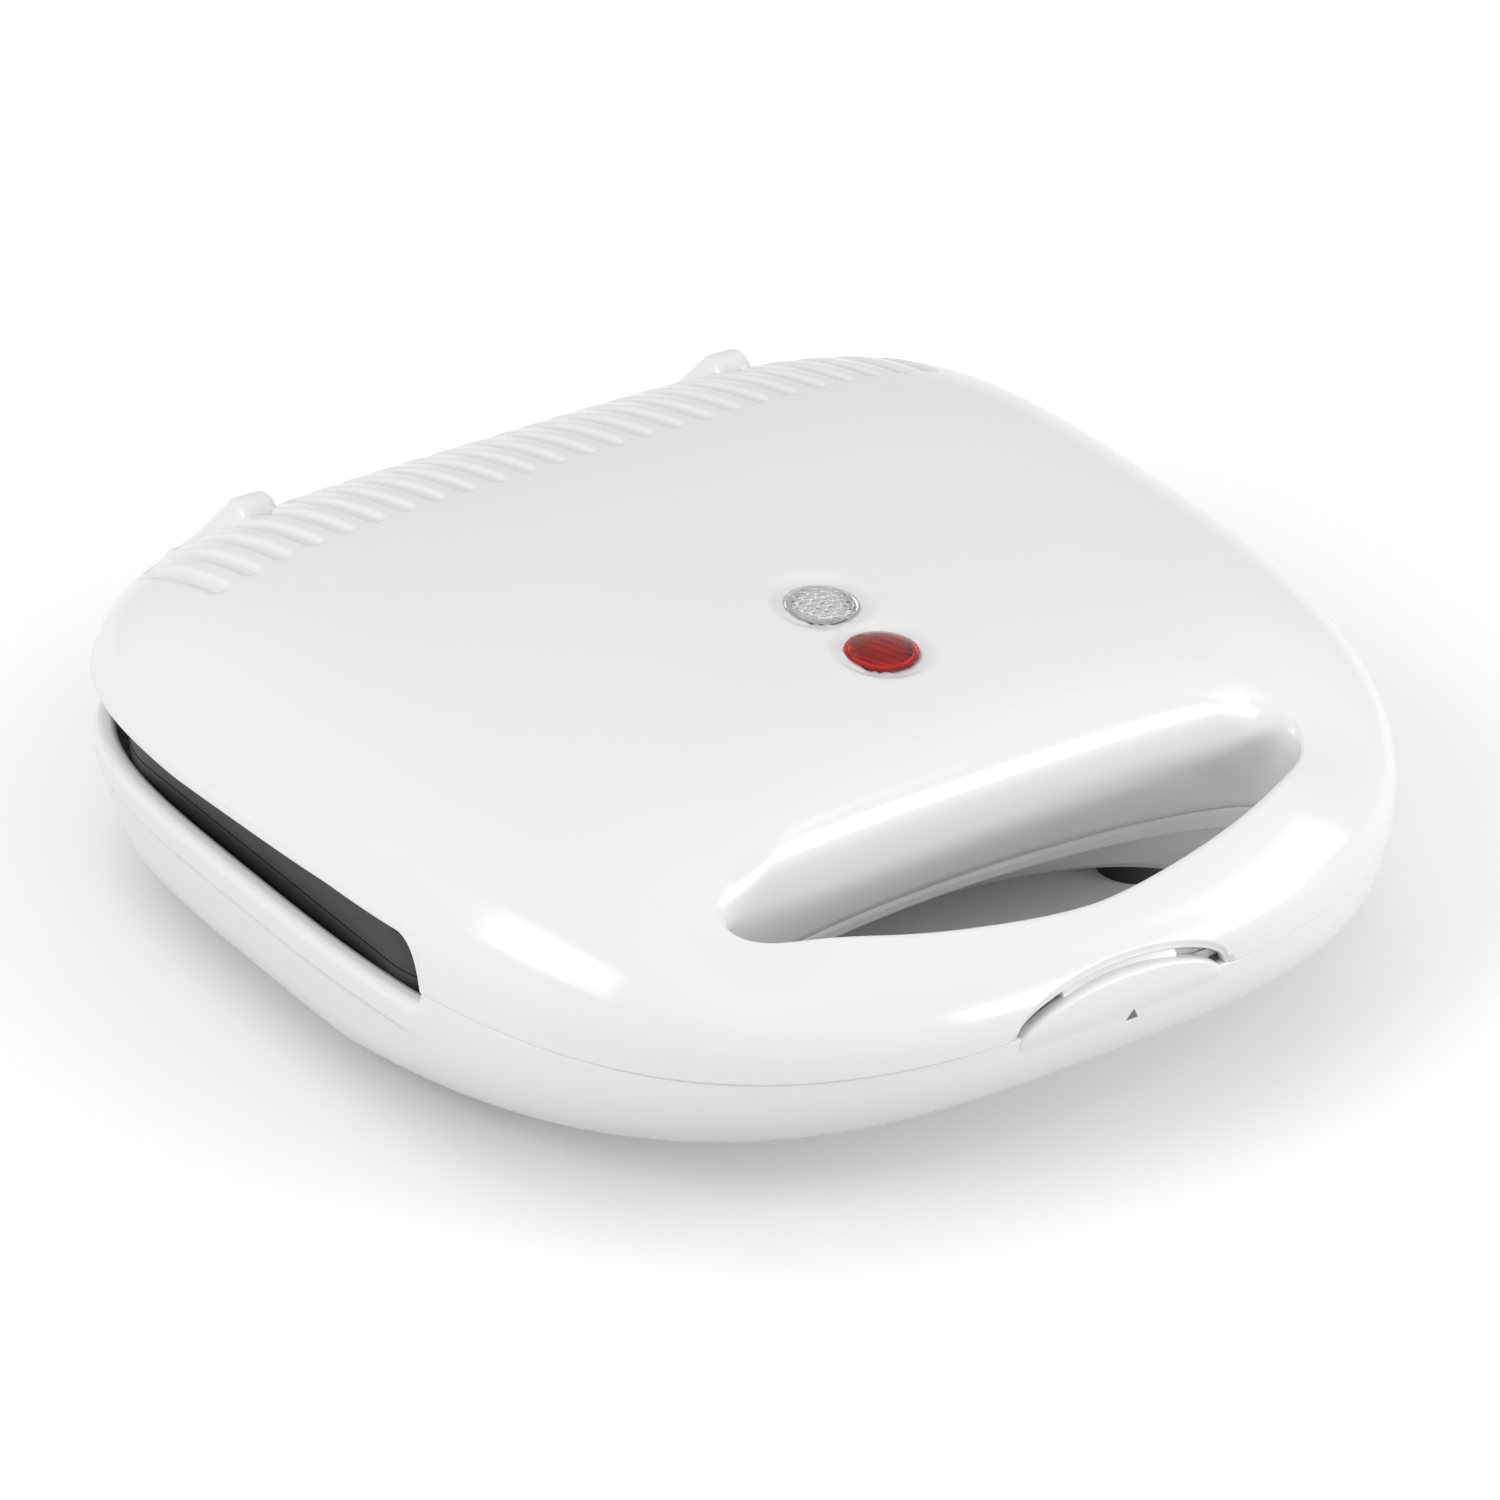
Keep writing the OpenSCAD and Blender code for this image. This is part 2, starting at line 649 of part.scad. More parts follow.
sheet_half = plate_half - 11;
sheet_front_y = plate_front_y + 22;
sheet_rear_y = plate_rear_y - 9;
thermostat_r = 8;
module sheet_form() {
    difference() {
        linear_extrude(sheet_t) rounded(sheet_half, sheet_front_y, sheet_rear_y, 12);
        at_reflector_fixings() translate([0, 0, -1]) cylinder(r = screw_r + fit, h = sheet_t + 2);
        translate([0, plate_y, -1]) cylinder(r = thermostat_r + 2, h = sheet_t + 2);
    }
}

module lower_reflector() {
    color("silver") translate([0, 0, lower_sheet_z]) sheet_form();
}

module upper_reflector() {
    color("silver") translate([0, 0, upper_sheet_z]) sheet_form();
}

// A screw with its head down at the origin and its shank rising.
module screw(length) {
    translate([0, 0, -head_h]) cylinder(r = head_r, h = head_h);
    cylinder(r = screw_r, h = length);
}

module lower_reflector_screws() {
    color("silver") at_reflector_fixings() translate([0, 0, lower_sheet_z]) screw(7);
}

module upper_reflector_screws() {
    color("silver") at_reflector_fixings() translate([0, 0, upper_sheet_z + sheet_t])
        mirror([0, 0, 1]) screw(6.5);
}

module lower_plate_screws() {
    color("silver") at_plate_fixings() translate([0, 0, seat_z])
        screw(lower_face_z - 3 - seat_z);
}

module upper_plate_screws() {
    color("silver") at_plate_fixings() translate([0, 0, upper_face_z + head_h]) screw(lug_h + 6);
}

thermostat_h = 7.4;
module thermostat() {
    color("tan") translate([0, plate_y, lower_back_z - thermostat_h]) {
        cylinder(r = thermostat_r, h = thermostat_h);
        for (sx = [-1, 1]) translate([sx * 5 - 1.5, -0.4, -2]) cube([3, 0.8, 2]);
    }
}

fuse_r = 2.2;
fuse_len = 24;
fuse_y = plate_y + 13;
module thermal_fuse() {
    color("ivory") translate([-fuse_len / 2, fuse_y, lower_back_z - fuse_r]) rotate([0, 90, 0])
        cylinder(r = fuse_r, h = fuse_len);
}

module terminal_block() {
    color("beige") difference() {
        translate([block_x - block_w / 2, block_y - block_d / 2, base_floor_z])
            cube([block_w, block_d, block_h]);
        for (i = [-1, 0, 1]) translate([block_x + i * block_pitch, block_y, base_floor_z + 4])
            cylinder(r = 2, h = block_h);
    }
}

module cord_bushing() {
    color([0.85, 0.85, 0.85]) difference() {
        translate([0, back_y - 10, bushing_z]) rotate([-90, 0, 0]) {
            cylinder(r = bushing_r, h = 12);
            translate([0, 0, 10 - base_step]) cylinder(r = bushing_r + 2.2, h = 3);
        }
        translate([0, back_y - 11, bushing_z]) rotate([-90, 0, 0]) cylinder(r = cord_r, h = 20);
    }
}

clamp_t = 2.4;
module cord_clamp() {
    color("white") difference() {
        translate([-clamp_x - 5, clamp_y - 4, clamp_z]) cube([2 * clamp_x + 10, 8, clamp_t]);
        for (sx = [-1, 1]) translate([sx * clamp_x, clamp_y, clamp_z - 1])
            cylinder(r = screw_r + fit, h = clamp_t + 2);
    }
}

module cord_clamp_screws() {
    color("silver") for (sx = [-1, 1])
        translate([sx * clamp_x, clamp_y, clamp_z + clamp_t]) mirror([0, 0, 1]) screw(8);
}

// An insulated lead through a list of points.
lead_r = 1.2;
module lead(points) {
    for (i = [0 : len(points) - 2]) hull() {
        translate(points[i]) sphere(lead_r, $fn = 10);
        translate(points[i + 1]) sphere(lead_r, $fn = 10);
    }
}

// The leads run behind the plates and end at the parting line beside a hinge.
wire_y = back_y - 15.25;
wire_x = 41;
wire_top_y = wire_y + 4;
wire_top_z = base_edge_z - 1.25;
block_top_z = base_floor_z + block_h + 1.4;
module base_wiring() {
    lz = lower_element_z;
    tip_y = element_end_y + 1.3;
    color("firebrick") {
        lead([[block_x + block_pitch, block_y, block_top_z],
            [block_x + block_w / 2 - 1, wire_y, bushing_z],
            [-element_end_x, wire_y, lz], [-element_end_x, tip_y, lz]]);
        lead([[element_end_x, tip_y, lz], [element_end_x + 2, wire_y - 1, lz],
            [wire_x - 11, wire_y + 2, bushing_z + 2], [wire_x - 1, wire_y + 3, wire_top_z - 3],
            [wire_x, wire_top_y, wire_top_z]]);
        lead([[block_x, block_y, block_top_z], [block_x, wire_y, bushing_z + 1],
            [-wire_x, wire_y + 3, wire_top_z - 6], [-wire_x, wire_top_y, wire_top_z]]);
    }
}

module hinge_pins() {
    color("silver") at_hinges() translate([-ear_span, hinge_y, hinge_z]) rotate([0, 90, 0])
        cylinder(r = hinge_pin_r, h = 2 * ear_span);
}

module rubber_feet() {
    color([0.2, 0.2, 0.2]) at_feet() {
        cylinder(r = foot_r, h = foot_h);
        cylinder(r = foot_r / 2, h = foot_h + 4);
    }
}

module base_cover_screws() {
    color("silver") at_cover_fixings() translate([0, 0, cover_low_z - 7]) {
        cylinder(r = screw_r, h = 7 + cover_t - 1);
        translate([0, 0, 7 + cover_t - 1]) cylinder(r1 = screw_r, r2 = head_r, h = 1);
    }
}

// Height of the lid's outer surface at any point.
function share_out(x, y) =
    let (n = y >= widest_y ? back_square : front_square,
         reach = y >= widest_y ? back_len : front_len)
    pow(pow(abs(x) / (body_w / 2), n) + pow(abs(y - widest_y) / reach, n), 1 / n);
function lid_surface(x, y) =
    parting_z + lid_rise * crown_at(y)
        * pow(max(0, 1 - pow(share_out(x, y), crown_in)), 1 / crown_out);

// A flute: a round-ended groove that follows the crown over its rear shoulder.
flute_end = 0.93;
flute_steps = 5;
function flute_ring(x, y, r) =
    let (z = lid_surface(x, y) + flute_w / 2 - flute_depth)
    [for (j = [0 : 9]) [x + r * sin(36 * j + 18), y, z + r * cos(36 * j + 18)]];
module flute(x) {
    r = flute_w / 2;
    y0 = flute_front_y + r;
    y1 = widest_y + back_len * pow(pow(flute_end, back_square)
        - pow(abs(x) / (body_w / 2), back_square), 1 / back_square);
    skin(concat([flute_ring(x, y0 - r * 0.95, r * 0.3), flute_ring(x, y0 - r * 0.6, r * 0.8)],
        [for (i = [0 : flute_steps]) flute_ring(x, y0 + (y1 - y0) * i / flute_steps, r)],
        [flute_ring(x, y1 + r * 0.6, r * 0.8), flute_ring(x, y1 + r * 0.95, r * 0.3)]));
}
module flutes() {
    count = floor(flute_half / flute_pitch);
    for (i = [-count : count]) flute(i * flute_pitch);
}

latch_pin_y = front_y + 6.1;
latch_pin_z = 44.6;
barrel_r = 2.1;
barrel_half = 14;
lug_half = barrel_half + 3.4;
lamp_boss_x = 18;
lamp_boss_r = 3;
recess_r = 10;
recess_depth = 0.9;
stem_step = 0.9;
function lens_seat_z(y) = lid_top(y) - recess_depth;
holder_z = 61.5;
holder_t = 1.5;
ready_y = clear_lens_y - lens_pitch;
lamp_mid_y = clear_lens_y - lens_pitch / 2;

module lid_skin() {
    difference() {
        crown(0);
        grip(0);
        difference() {
            crown(wall);
            grip(wall);
        }
        flutes();
        both_sides(gap_in_x) lid_gap_outline();
        translate([-body_w, -body_w, lid_edge_z - wall]) cube([2 * body_w, 2 * body_w, wall]);
        along_y(front_y - 5, front_y + 4.6) latch_oval(latch_clear, latch_top_room);
    }
    intersection() {
        union() {
            at_plate_fixings() translate([0, 0, upper_face_z + lug_h])
                cylinder(r = boss_r, h = 60);
            at_cover_fixings() translate([0, 0, cover_high_z + cover_t])
                cylinder(r = boss_r - 0.5, h = 30);
            for (sx = [-1, 1]) {
                translate([sx * lamp_boss_x, lamp_mid_y, holder_z + holder_t])
                    cylinder(r = lamp_boss_r, h = 30);
                translate([sx * (barrel_half + 1.9) - 1.5, latch_room_y + 0.6,
                    cover_high_z + cover_t + 0.2]) cube([3, 6.9, 12]);
            }
        }
        difference() {
            crown(1);
            grip(1);
        }
    }
}

hump_y = hinge_y - 21.2;
hump_z = 60.5;
hump_r = 6;
arm_bend = [back_y - 1.25, 48];
arm_bend_r = 4;
arm_drop = [back_y + 5.65, 40];
arm_drop_r = 5;
module arm_outline() {
    web([hump_y, hump_z], hump_r, arm_bend, arm_bend_r);
    web(arm_bend, arm_bend_r, arm_drop, arm_drop_r);
    web(arm_drop, arm_drop_r, [hinge_y, hinge_z], knuckle_r);
}
module lid_shell() {
    color("white") difference() {
        union() {
            // Brings the faceted skin to its exact width and depth.
            resize([body_w, front_len + back_len, 0]) lid_skin();
            at_hinges() slab_x(-arm_w / 2, arm_w / 2)
                arm_outline();
        }
        at_hinges() translate([-arm_w, hinge_y, hinge_z]) rotate([0, 90, 0])
            cylinder(r = hinge_pin_r + fit / 2, h = 2 * arm_w);
        for (y = [clear_lens_y, ready_y]) translate([0, y, 0]) {
            translate([0, 0, holder_z]) cylinder(r = lens_r - stem_step + fit, h = 30);
            translate([0, 0, lens_seat_z(y)]) cylinder(r = recess_r, h = 10);
        }
        at_plate_fixings() translate([0, 0, upper_face_z + lug_h - 1])
            cylinder(r = screw_r + fit, h = 10);
        at_cover_fixings() translate([0, 0, cover_high_z]) cylinder(r = screw_r + fit, h = 10);
        for (sx = [-1, 1]) translate([sx * lamp_boss_x, lamp_mid_y, holder_z])
            cylinder(r = screw_r + fit, h = 8);
        translate([-lug_half - 1, latch_pin_y, latch_pin_z]) rotate([0, 90, 0])
            cylinder(r = latch_pin_r + fit / 5, h = 2 * lug_half + 2);
    }
}

module lid_handle_cover() {
    color("white") difference() {
        translate([0, 0, cover_high_z]) handle_strip(parting_z);
        at_cover_fixings() translate([0, 0, cover_high_z - 1]) {
            cylinder(r = screw_r + fit, h = cover_t + 2);
            cylinder(r = head_r + fit, h = 1 + eps);
            translate([0, 0, 1]) cylinder(r1 = head_r + fit, r2 = screw_r + fit, h = 1 + eps);
        }
        translate([-barrel_half - 1, front_y, cover_high_z - 1])
            cube([2 * barrel_half + 2, 5.4, cover_t + 2]);
    }
}

module lid_cover_screws() {
    color("silver") at_cover_fixings() translate([0, 0, cover_high_z]) {
        cylinder(r1 = head_r, r2 = screw_r, h = 1);
        cylinder(r = screw_r, h = 9);
    }
}

// A lens: a shallow dome that rests in its recess, with a stem through the lid.
module lens(y) {
    dome_r = (lens_r * lens_r + lens_dome * lens_dome) / (2 * lens_dome);
    translate([0, y, lens_seat_z(y)]) {
        translate([0, 0, -5.5]) cylinder(r = lens_r - stem_step, h = 5.5);
        intersection() {
            cylinder(r = lens_r, h = lens_dome);
            translate([0, 0, lens_dome - dome_r]) sphere(dome_r);
        }
    }
}

module clear_lens() {
    color([0.9, 0.92, 0.95, 0.6]) lens(clear_lens_y);
}

module red_lens() {
    color([0.75, 0.05, 0.02, 0.8]) lens(ready_y);
}

lamp_r = 3;
lamp_h = 6;
module lamp_holder() {
    color("ivory") difference() {
        translate([-lamp_boss_x - 4, ready_y - 6, holder_z])
            cube([2 * lamp_boss_x + 8, lens_pitch + 12, holder_t]);
        for (sx = [-1, 1]) translate([sx * lamp_boss_x, lamp_mid_y, holder_z - 1])
            cylinder(r = screw_r + fit, h = holder_t + 2);
    }
}

module lamp(y) {
    translate([0, y, holder_z + holder_t]) {
        cylinder(r = lamp_r, h = lamp_h - 2);
        translate([0, 0, lamp_h - 2 - eps]) cylinder(r = lamp_r * 0.7, h = 1.4);
    }
}

module power_lamp() {
    color("orange") lamp(clear_lens_y);
}

module ready_lamp() {
    color("orange") lamp(ready_y);
}

module lamp_holder_screws() {
    color("silver") for (sx = [-1, 1]) translate([sx * lamp_boss_x, lamp_mid_y, holder_z])
        screw(holder_t + 5);
}

module lid_wiring() {
    lz = upper_element_z;
    tip_y = element_end_y + 1.3;
    low_z = lid_edge_z + 3.25;
    color("firebrick") {
        for (sx = [-1, 1]) mirror([sx > 0 ? 0 : 1, 0, 0])
            lead([[element_end_x, tip_y, lz], [element_end_x + 1, wire_y - 1, lz],
                [wire_x - 13, wire_y + 1, low_z + 9], [wire_x - 3, wire_y + 2, low_z + 2],
                [wire_x, wire_y + 3, low_z]]);
        lead([[8, ready_y, holder_z + 2.8], [12, plate_y + 9, holder_z + 3.5],
            [14, plate_rear_y - 18, holder_z + 0.5], [16, element_end_y, holder_z - 3.5],
            [element_end_x, wire_y - 2, holder_z - 4.5]]);
    }
}

module latch_pin() {
    color("silver") translate([-lug_half, latch_pin_y, latch_pin_z]) rotate([0, 90, 0])
        cylinder(r = latch_pin_r, h = 2 * lug_half);
}

// A leaf that presses on the latch above its pivot, so that its hook stays in.
module latch_spring() {
    color("silver") slab_x(-4, 4) polygon([
        [latch_pin_y + 1.2, latch_pin_z + 5.4], [latch_pin_y - 0.2, latch_pin_z + 2.4],
        [latch_pin_y + 0.3, latch_pin_z + 2.4], [latch_pin_y + 1.7, latch_pin_z + 5.4]]);
}

// The latch's face follows the housing's front wall, with its hook behind.
function crown_wall_y(z, y) =
    let (up = min(1, (z - parting_z) / (lid_rise * crown_at(y))))
    widest_y - front_len * pow(1 - pow(up, crown_out), 1 / crown_in);
function front_wall_y(z) = z >= parting_z
    ? crown_wall_y(z, crown_wall_y(z, crown_wall_y(z, front_y)))
    : front_y + tub_inset((parting_z - z) / (parting_z - floor_z(front_y)));
face_z = [for (i = [0 : 12]) latch_mid_z - latch_half_h + 2 * latch_half_h * i / 12];
hook_low_z = cover_low_z - 2.6;
hook_high_z = cover_low_z - 0.4;
hook_back_y = latch_room_y + 1.3;
module latch_button() {
    color("white") difference() {
        union() {
            intersection() {
                slab_x(-latch_half_w - 1, latch_half_w + 1) polygon(concat(
                    [for (z = face_z) [front_wall_y(z), z]],
                    [for (i = [12 : -1 : 0]) [front_wall_y(face_z[i]) + latch_t, face_z[i]]]));
                along_y(front_y - 1, front_y + 12) latch_oval(0, 0);
            }
            slab_x(-barrel_half, barrel_half) {
                translate([latch_pin_y, latch_pin_z]) circle(barrel_r);
                polygon([[front_y + 2, latch_pin_z - 4], [latch_pin_y + 1.6, latch_pin_z - 1.3],
                    [latch_pin_y, latch_pin_z], [front_y + 2, latch_pin_z - 1.2]]);
            }
            slab_x(-hook_w / 2, hook_w / 2) polygon([[front_y + 2, hook_low_z - 2],
                [hook_back_y, hook_low_z + 0.6], [hook_back_y, hook_high_z],
                [front_y + 2, hook_high_z]]);
        }
        translate([-barrel_half - 1, latch_pin_y, latch_pin_z]) rotate([0, 90, 0])
            cylinder(r = latch_pin_r + fit / 2, h = 2 * barrel_half + 2);
    }
}

base_shell();
base_handle_cover();
lower_plate();
lower_element();
lower_reflector();
lower_reflector_screws();
thermostat();
thermal_fuse();
terminal_block();
cord_bushing();
cord_clamp();
cord_clamp_screws();
base_wiring();
hinge_pins();
rubber_feet();
lower_plate_screws();
base_cover_screws();
lid_shell();
lid_handle_cover();
upper_plate();
upper_element();
upper_reflector();
upper_reflector_screws();
clear_lens();
red_lens();
lamp_holder();
power_lamp();
ready_lamp();
lamp_holder_screws();
lid_wiring();
upper_plate_screws();
lid_cover_screws();
latch_pin();
latch_spring();
latch_button();
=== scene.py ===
"""A white two-slice sandwich toaster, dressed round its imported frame.

Shapes are worked out in millimetres, X to the right, Y to the back and Z up, and turned to
metres when a mesh is made. A shell is a closed band of columns and rows: each column starts at
the foot of the finger opening's wall, climbs it, crosses the crown to the outer edge, turns
round that edge and comes back along the inside.
"""

from __future__ import annotations

import logging
import math
from dataclasses import dataclass, field
from enum import Enum

import bpy
import numpy as np
from mathutils import Matrix, Vector

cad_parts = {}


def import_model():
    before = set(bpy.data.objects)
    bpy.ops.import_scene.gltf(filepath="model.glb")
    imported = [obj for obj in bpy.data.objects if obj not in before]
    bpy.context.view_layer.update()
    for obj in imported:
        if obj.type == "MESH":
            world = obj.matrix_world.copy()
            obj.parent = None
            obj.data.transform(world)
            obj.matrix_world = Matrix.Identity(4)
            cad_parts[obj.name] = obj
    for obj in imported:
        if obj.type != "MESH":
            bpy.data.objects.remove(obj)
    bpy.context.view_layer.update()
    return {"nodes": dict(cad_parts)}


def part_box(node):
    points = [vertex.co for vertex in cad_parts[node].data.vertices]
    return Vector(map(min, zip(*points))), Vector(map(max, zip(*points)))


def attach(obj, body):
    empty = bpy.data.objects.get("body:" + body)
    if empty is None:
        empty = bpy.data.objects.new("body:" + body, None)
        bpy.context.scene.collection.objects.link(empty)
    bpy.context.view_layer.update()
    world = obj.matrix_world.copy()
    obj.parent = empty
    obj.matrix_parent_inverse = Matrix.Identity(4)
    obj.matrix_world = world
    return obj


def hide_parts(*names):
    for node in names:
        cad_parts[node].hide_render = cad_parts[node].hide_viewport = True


LOG = logging.getLogger("toaster")
MM = 0.001
Array = np.ndarray


def linear(colour: str) -> tuple[float, float, float, float]:
    """Turns an sRGB hex colour into linear light.

    Args:
        colour: six hex digits after a hash.

    Returns:
        Red, green, blue and a full alpha.
    """
    parts = [int(colour[i : i + 2], 16) / 255 for i in (1, 3, 5)]
    red, green, blue = (c / 12.92 if c <= 0.04045 else ((c + 0.055) / 1.055) ** 2.4 for c in parts)
    return red, green, blue, 1.0


def ease(x: Array | float) -> Array:
    """Rises smoothly from 0 at x = 0 to 1 at x = 1, and stays level outside."""
    t = np.clip(x, 0.0, 1.0)
    return t * t * (3 - 2 * t)


def bump(x: Array, low: float, high: float, soft: float) -> Array:
    """Is 1 between low and high and fades to 0 over a soft margin outside."""
    return ease((x - low) / soft + 1) * ease((high - x) / soft + 1)


def rounded(depth: Array, radius: float) -> Array:
    """How far a quarter-round edge has drawn in at a depth below its top: r (1 - sqrt(1 - u^2))."""
    return radius * (1 - np.sqrt(1 - np.clip(1 - depth / radius, 0, 1) ** 2))


def lengths(path: Array, weight: Array | None = None) -> Array:
    """Adds up the distance along each line, from 0 at its first point.

    Args:
        path: points by 2 or 3, or lines by points by 3.
        weight: lines by points, how much each stretch counts.

    Returns:
        One length for each point.
    """
    step = np.linalg.norm(np.diff(path, axis=-2), axis=-1)
    if weight is not None:
        step = step * (weight[:, 1:] + weight[:, :-1]) / 2
    return np.insert(np.cumsum(step, axis=-1), 0, 0.0, axis=-1)


def sampled(path: Array, known: Array, want: Array) -> Array:
    """Reads each column's line at some lengths, straight between its points.

    The columns' lengths are shifted apart, so one interpolation serves them all.

    Args:
        path: columns by samples by 3.
        known: the samples' shifted lengths.
        want: columns by count, the shifted lengths to read at.

    Returns:
        Columns by count by 3.
    """
    return np.stack([np.interp(want, known.ravel(), path[..., k].ravel()) for k in range(3)], axis=-1)


def walk(path: Array, count: int, weight: Array | None = None) -> Array:
    """Walks each column's line in steps that are even in weighted length.

    Args:
        path: columns by samples by 3.
        count: points wanted on each column.
        weight: columns by samples, how closely the points lie there.

    Returns:
        Columns by count by 3.
    """
    along = lengths(path, weight)
    along /= along[:, -1:]
    shift = 2.0 * np.arange(len(path))[:, None]
    return sampled(path, along + shift, np.linspace(0.0, 1.0, count)[None, :] + shift)


def cut_at(path: Array, length: Array, from_start: bool) -> tuple[Array, Array]:
    """Cuts each column's line at a length from one end.

    Args:
        path: columns by samples by 3.
        length: one length for each column.
        from_start: whether the length counts from the first sample.

    Returns:
        The cut points, and the line that is left with as many samples as before.
    """
    line = path if from_start else path[:, ::-1]
    along = lengths(line)
    total = along[:, -1:]
    shift = 10.0 * float(total.max()) * np.arange(len(line))[:, None]
    cut = np.minimum(length[:, None], total * 0.9)
    want = cut + (total - cut) * np.linspace(0.0, 1.0, line.shape[1])[None, :]
    rest = sampled(line, along + shift, want + shift)
    return rest[:, 0], rest if from_start else rest[:, ::-1]


def round_corner(start: Array, corner: Array, end: Array, count: int) -> Array:
    """Rounds a corner with the curve (1-t)^2 A + 2w t(1-t) C + t^2 B over its weight sum.

    The weight w is the sine of half the corner's angle, which makes it an arc of a circle.

    Args:
        start, corner, end: columns by 3.
        count: points on the arc, without its two ends.

    Returns:
        Columns by count by 3.
    """
    a, b = start - corner, end - corner
    cosine = np.sum(a * b, axis=1) / (np.linalg.norm(a, axis=1) * np.linalg.norm(b, axis=1) + 1e-12)
    w = np.sqrt(np.clip((1 - cosine) / 2, 0.02, 1.0))[:, None, None]
    t = np.linspace(0.0, 1.0, count + 2)[None, 1:-1, None]
    top = (1 - t) ** 2 * start[:, None] + 2 * w * t * (1 - t) * corner[:, None] + t**2 * end[:, None]
    return top / ((1 - t) ** 2 + 2 * w * t * (1 - t) + t**2)


def hull_outline(circles: list[tuple[float, float, float]], shrink: float, count: int) -> Array:
    """The outline round some circles, found direction by direction.

    In each direction the outline's point lies on the circle that reaches furthest that way.

    Args:
        circles: centre and radius of each.
        shrink: how far the outline is drawn in.
        count: directions.

    Returns:
        Count by 2, counter-clockwise.
    """
    turn = np.linspace(0.0, 2 * np.pi, count, endpoint=False)
    way = np.stack([np.cos(turn), np.sin(turn)], axis=1)
    data = np.array(circles)
    reach = way @ data[:, :2].T + (data[:, 2] - shrink)
    best = np.argmax(reach, axis=1)
    return data[best, :2] + way * (data[best, 2] - shrink)[:, None]


# ---------------------------------------------------------------- meshes


def build(name: str, points: Array, quads: Array, triangles: Array | None = None) -> bpy.types.Object:
    """Makes a smooth-shaded mesh object at the origin.

    Args:
        name: the piece's name.
        points: any shape by 3, in millimetres.
        quads: faces by 4.
        triangles: faces by 3.

    Returns:
        The object, with its faces pointing outwards.
    """
    co = np.asarray(points, float).reshape(-1, 3) * MM
    quads = np.asarray(quads, np.int32).reshape(-1, 4)
    tris = np.zeros((0, 3), np.int32) if triangles is None else np.asarray(triangles, np.int32)
    split = np.concatenate([quads[:, [0, 1, 2]], quads[:, [0, 2, 3]], tris])
    a, b, c = co[split[:, 0]], co[split[:, 1]], co[split[:, 2]]
    if np.einsum("ij,ij->i", a, np.cross(b, c)).sum() < 0:
        quads, tris = quads[:, ::-1], tris[:, ::-1]
    mesh = bpy.data.meshes.new(name)
    mesh.vertices.add(len(co))
    mesh.vertices.foreach_set("co", co.astype(np.float32).ravel())
    corners = np.concatenate([quads.ravel(), tris.ravel()])
    mesh.loops.add(len(corners))
    mesh.loops.foreach_set("vertex_index", corners)
    sizes = np.concatenate([np.full(len(quads), 4), np.full(len(tris), 3)])
    starts = np.concatenate([[0], np.cumsum(sizes)[:-1]])
    mesh.polygons.add(len(sizes))
    mesh.polygons.foreach_set("loop_start", starts.astype(np.int32))
    mesh.update(calc_edges=True)
    mesh.validate()
    mesh.shade_smooth()
    piece = bpy.data.objects.new(name, mesh)
    bpy.context.scene.collection.objects.link(piece)
    return piece


def band(rows: int, columns: int, wrap_rows: bool) -> Array:
    """Faces of a grid whose columns close on themselves; its rows may close as well."""
    i = np.arange(rows if wrap_rows else rows - 1)[:, None]
    j = np.arange(columns)[None, :]
    down, across = (i + 1) % rows, (j + 1) % columns
    return np.stack(
        [i * columns + j, i * columns + across, down * columns + across, down * columns + j], axis=-1
    ).reshape(-1, 4)


def capped(name: str, rings: Array) -> bpy.types.Object:
    """Closes a stack of rings with a fan at each end.

    Args:
        name: the piece's name.
        rings: rows by columns by 3.

    Returns:
        The closed piece.
    """
    rows, columns, _ = rings.shape
    points = np.concatenate(
        [rings.reshape(-1, 3), rings[0].mean(axis=0)[None], rings[-1].mean(axis=0)[None]]
    )
    j = np.arange(columns)
    low, high = rows * columns, rows * columns + 1
    last = (rows - 1) * columns
    fans = np.concatenate(
        [
            np.stack([np.full(columns, low), (j + 1) % columns, j], axis=1),
            np.stack([np.full(columns, high), last + j, last + (j + 1) % columns], axis=1),
        ]
    )
    return build(name, points, band(rows, columns, False), fans)


def joined(name: str, parts: list[bpy.types.Object]) -> bpy.types.Object:
    """Makes one piece of several separate solids."""
    meshes = [part.data for part in parts]
    points, quads, tris, start = [], [], [], 0
    for mesh in meshes:
        co = np.zeros(len(mesh.vertices) * 3, np.float32)
        mesh.vertices.foreach_get("co", co)
        points.append(co.reshape(-1, 3) / MM)
        for face in mesh.polygons:
            (quads if len(face.vertices) == 4 else tris).append([v + start for v in face.vertices])
        start += len(mesh.vertices)
    for part in parts:
        bpy.data.objects.remove(part)
    return build(
        name,
        np.concatenate(points),
        np.array(quads, np.int32).reshape(-1, 4),
        np.array(tris, np.int32).reshape(-1, 3),
    )


def slab(name: str, circles: list[tuple[float, float, float]], x0: float, x1: float, edge: float):
    """A plate across X with rounded edges, its YZ outline drawn round some circles.

    Args:
        name: the piece's name.
        circles: centre (y, z) and radius of each.
        x0, x1: the two faces.
        edge: radius of the rounded edges.

    Returns:
        The closed piece.
    """
    turn = np.linspace(0.0, np.pi / 2, 6)
    shrink = np.concatenate([edge * (1 - np.sin(turn)), edge * (1 - np.sin(turn))[::-1]])
    place = np.concatenate([x0 + edge * (1 - np.cos(turn)), x1 - edge * (1 - np.cos(turn))[::-1]])
    rings = []
    for inset, x in zip(shrink, place):
        outline = hull_outline(circles, inset, 96)
        rings.append(np.column_stack([np.full(len(outline), x), outline]))
    return capped(name, np.array(rings))


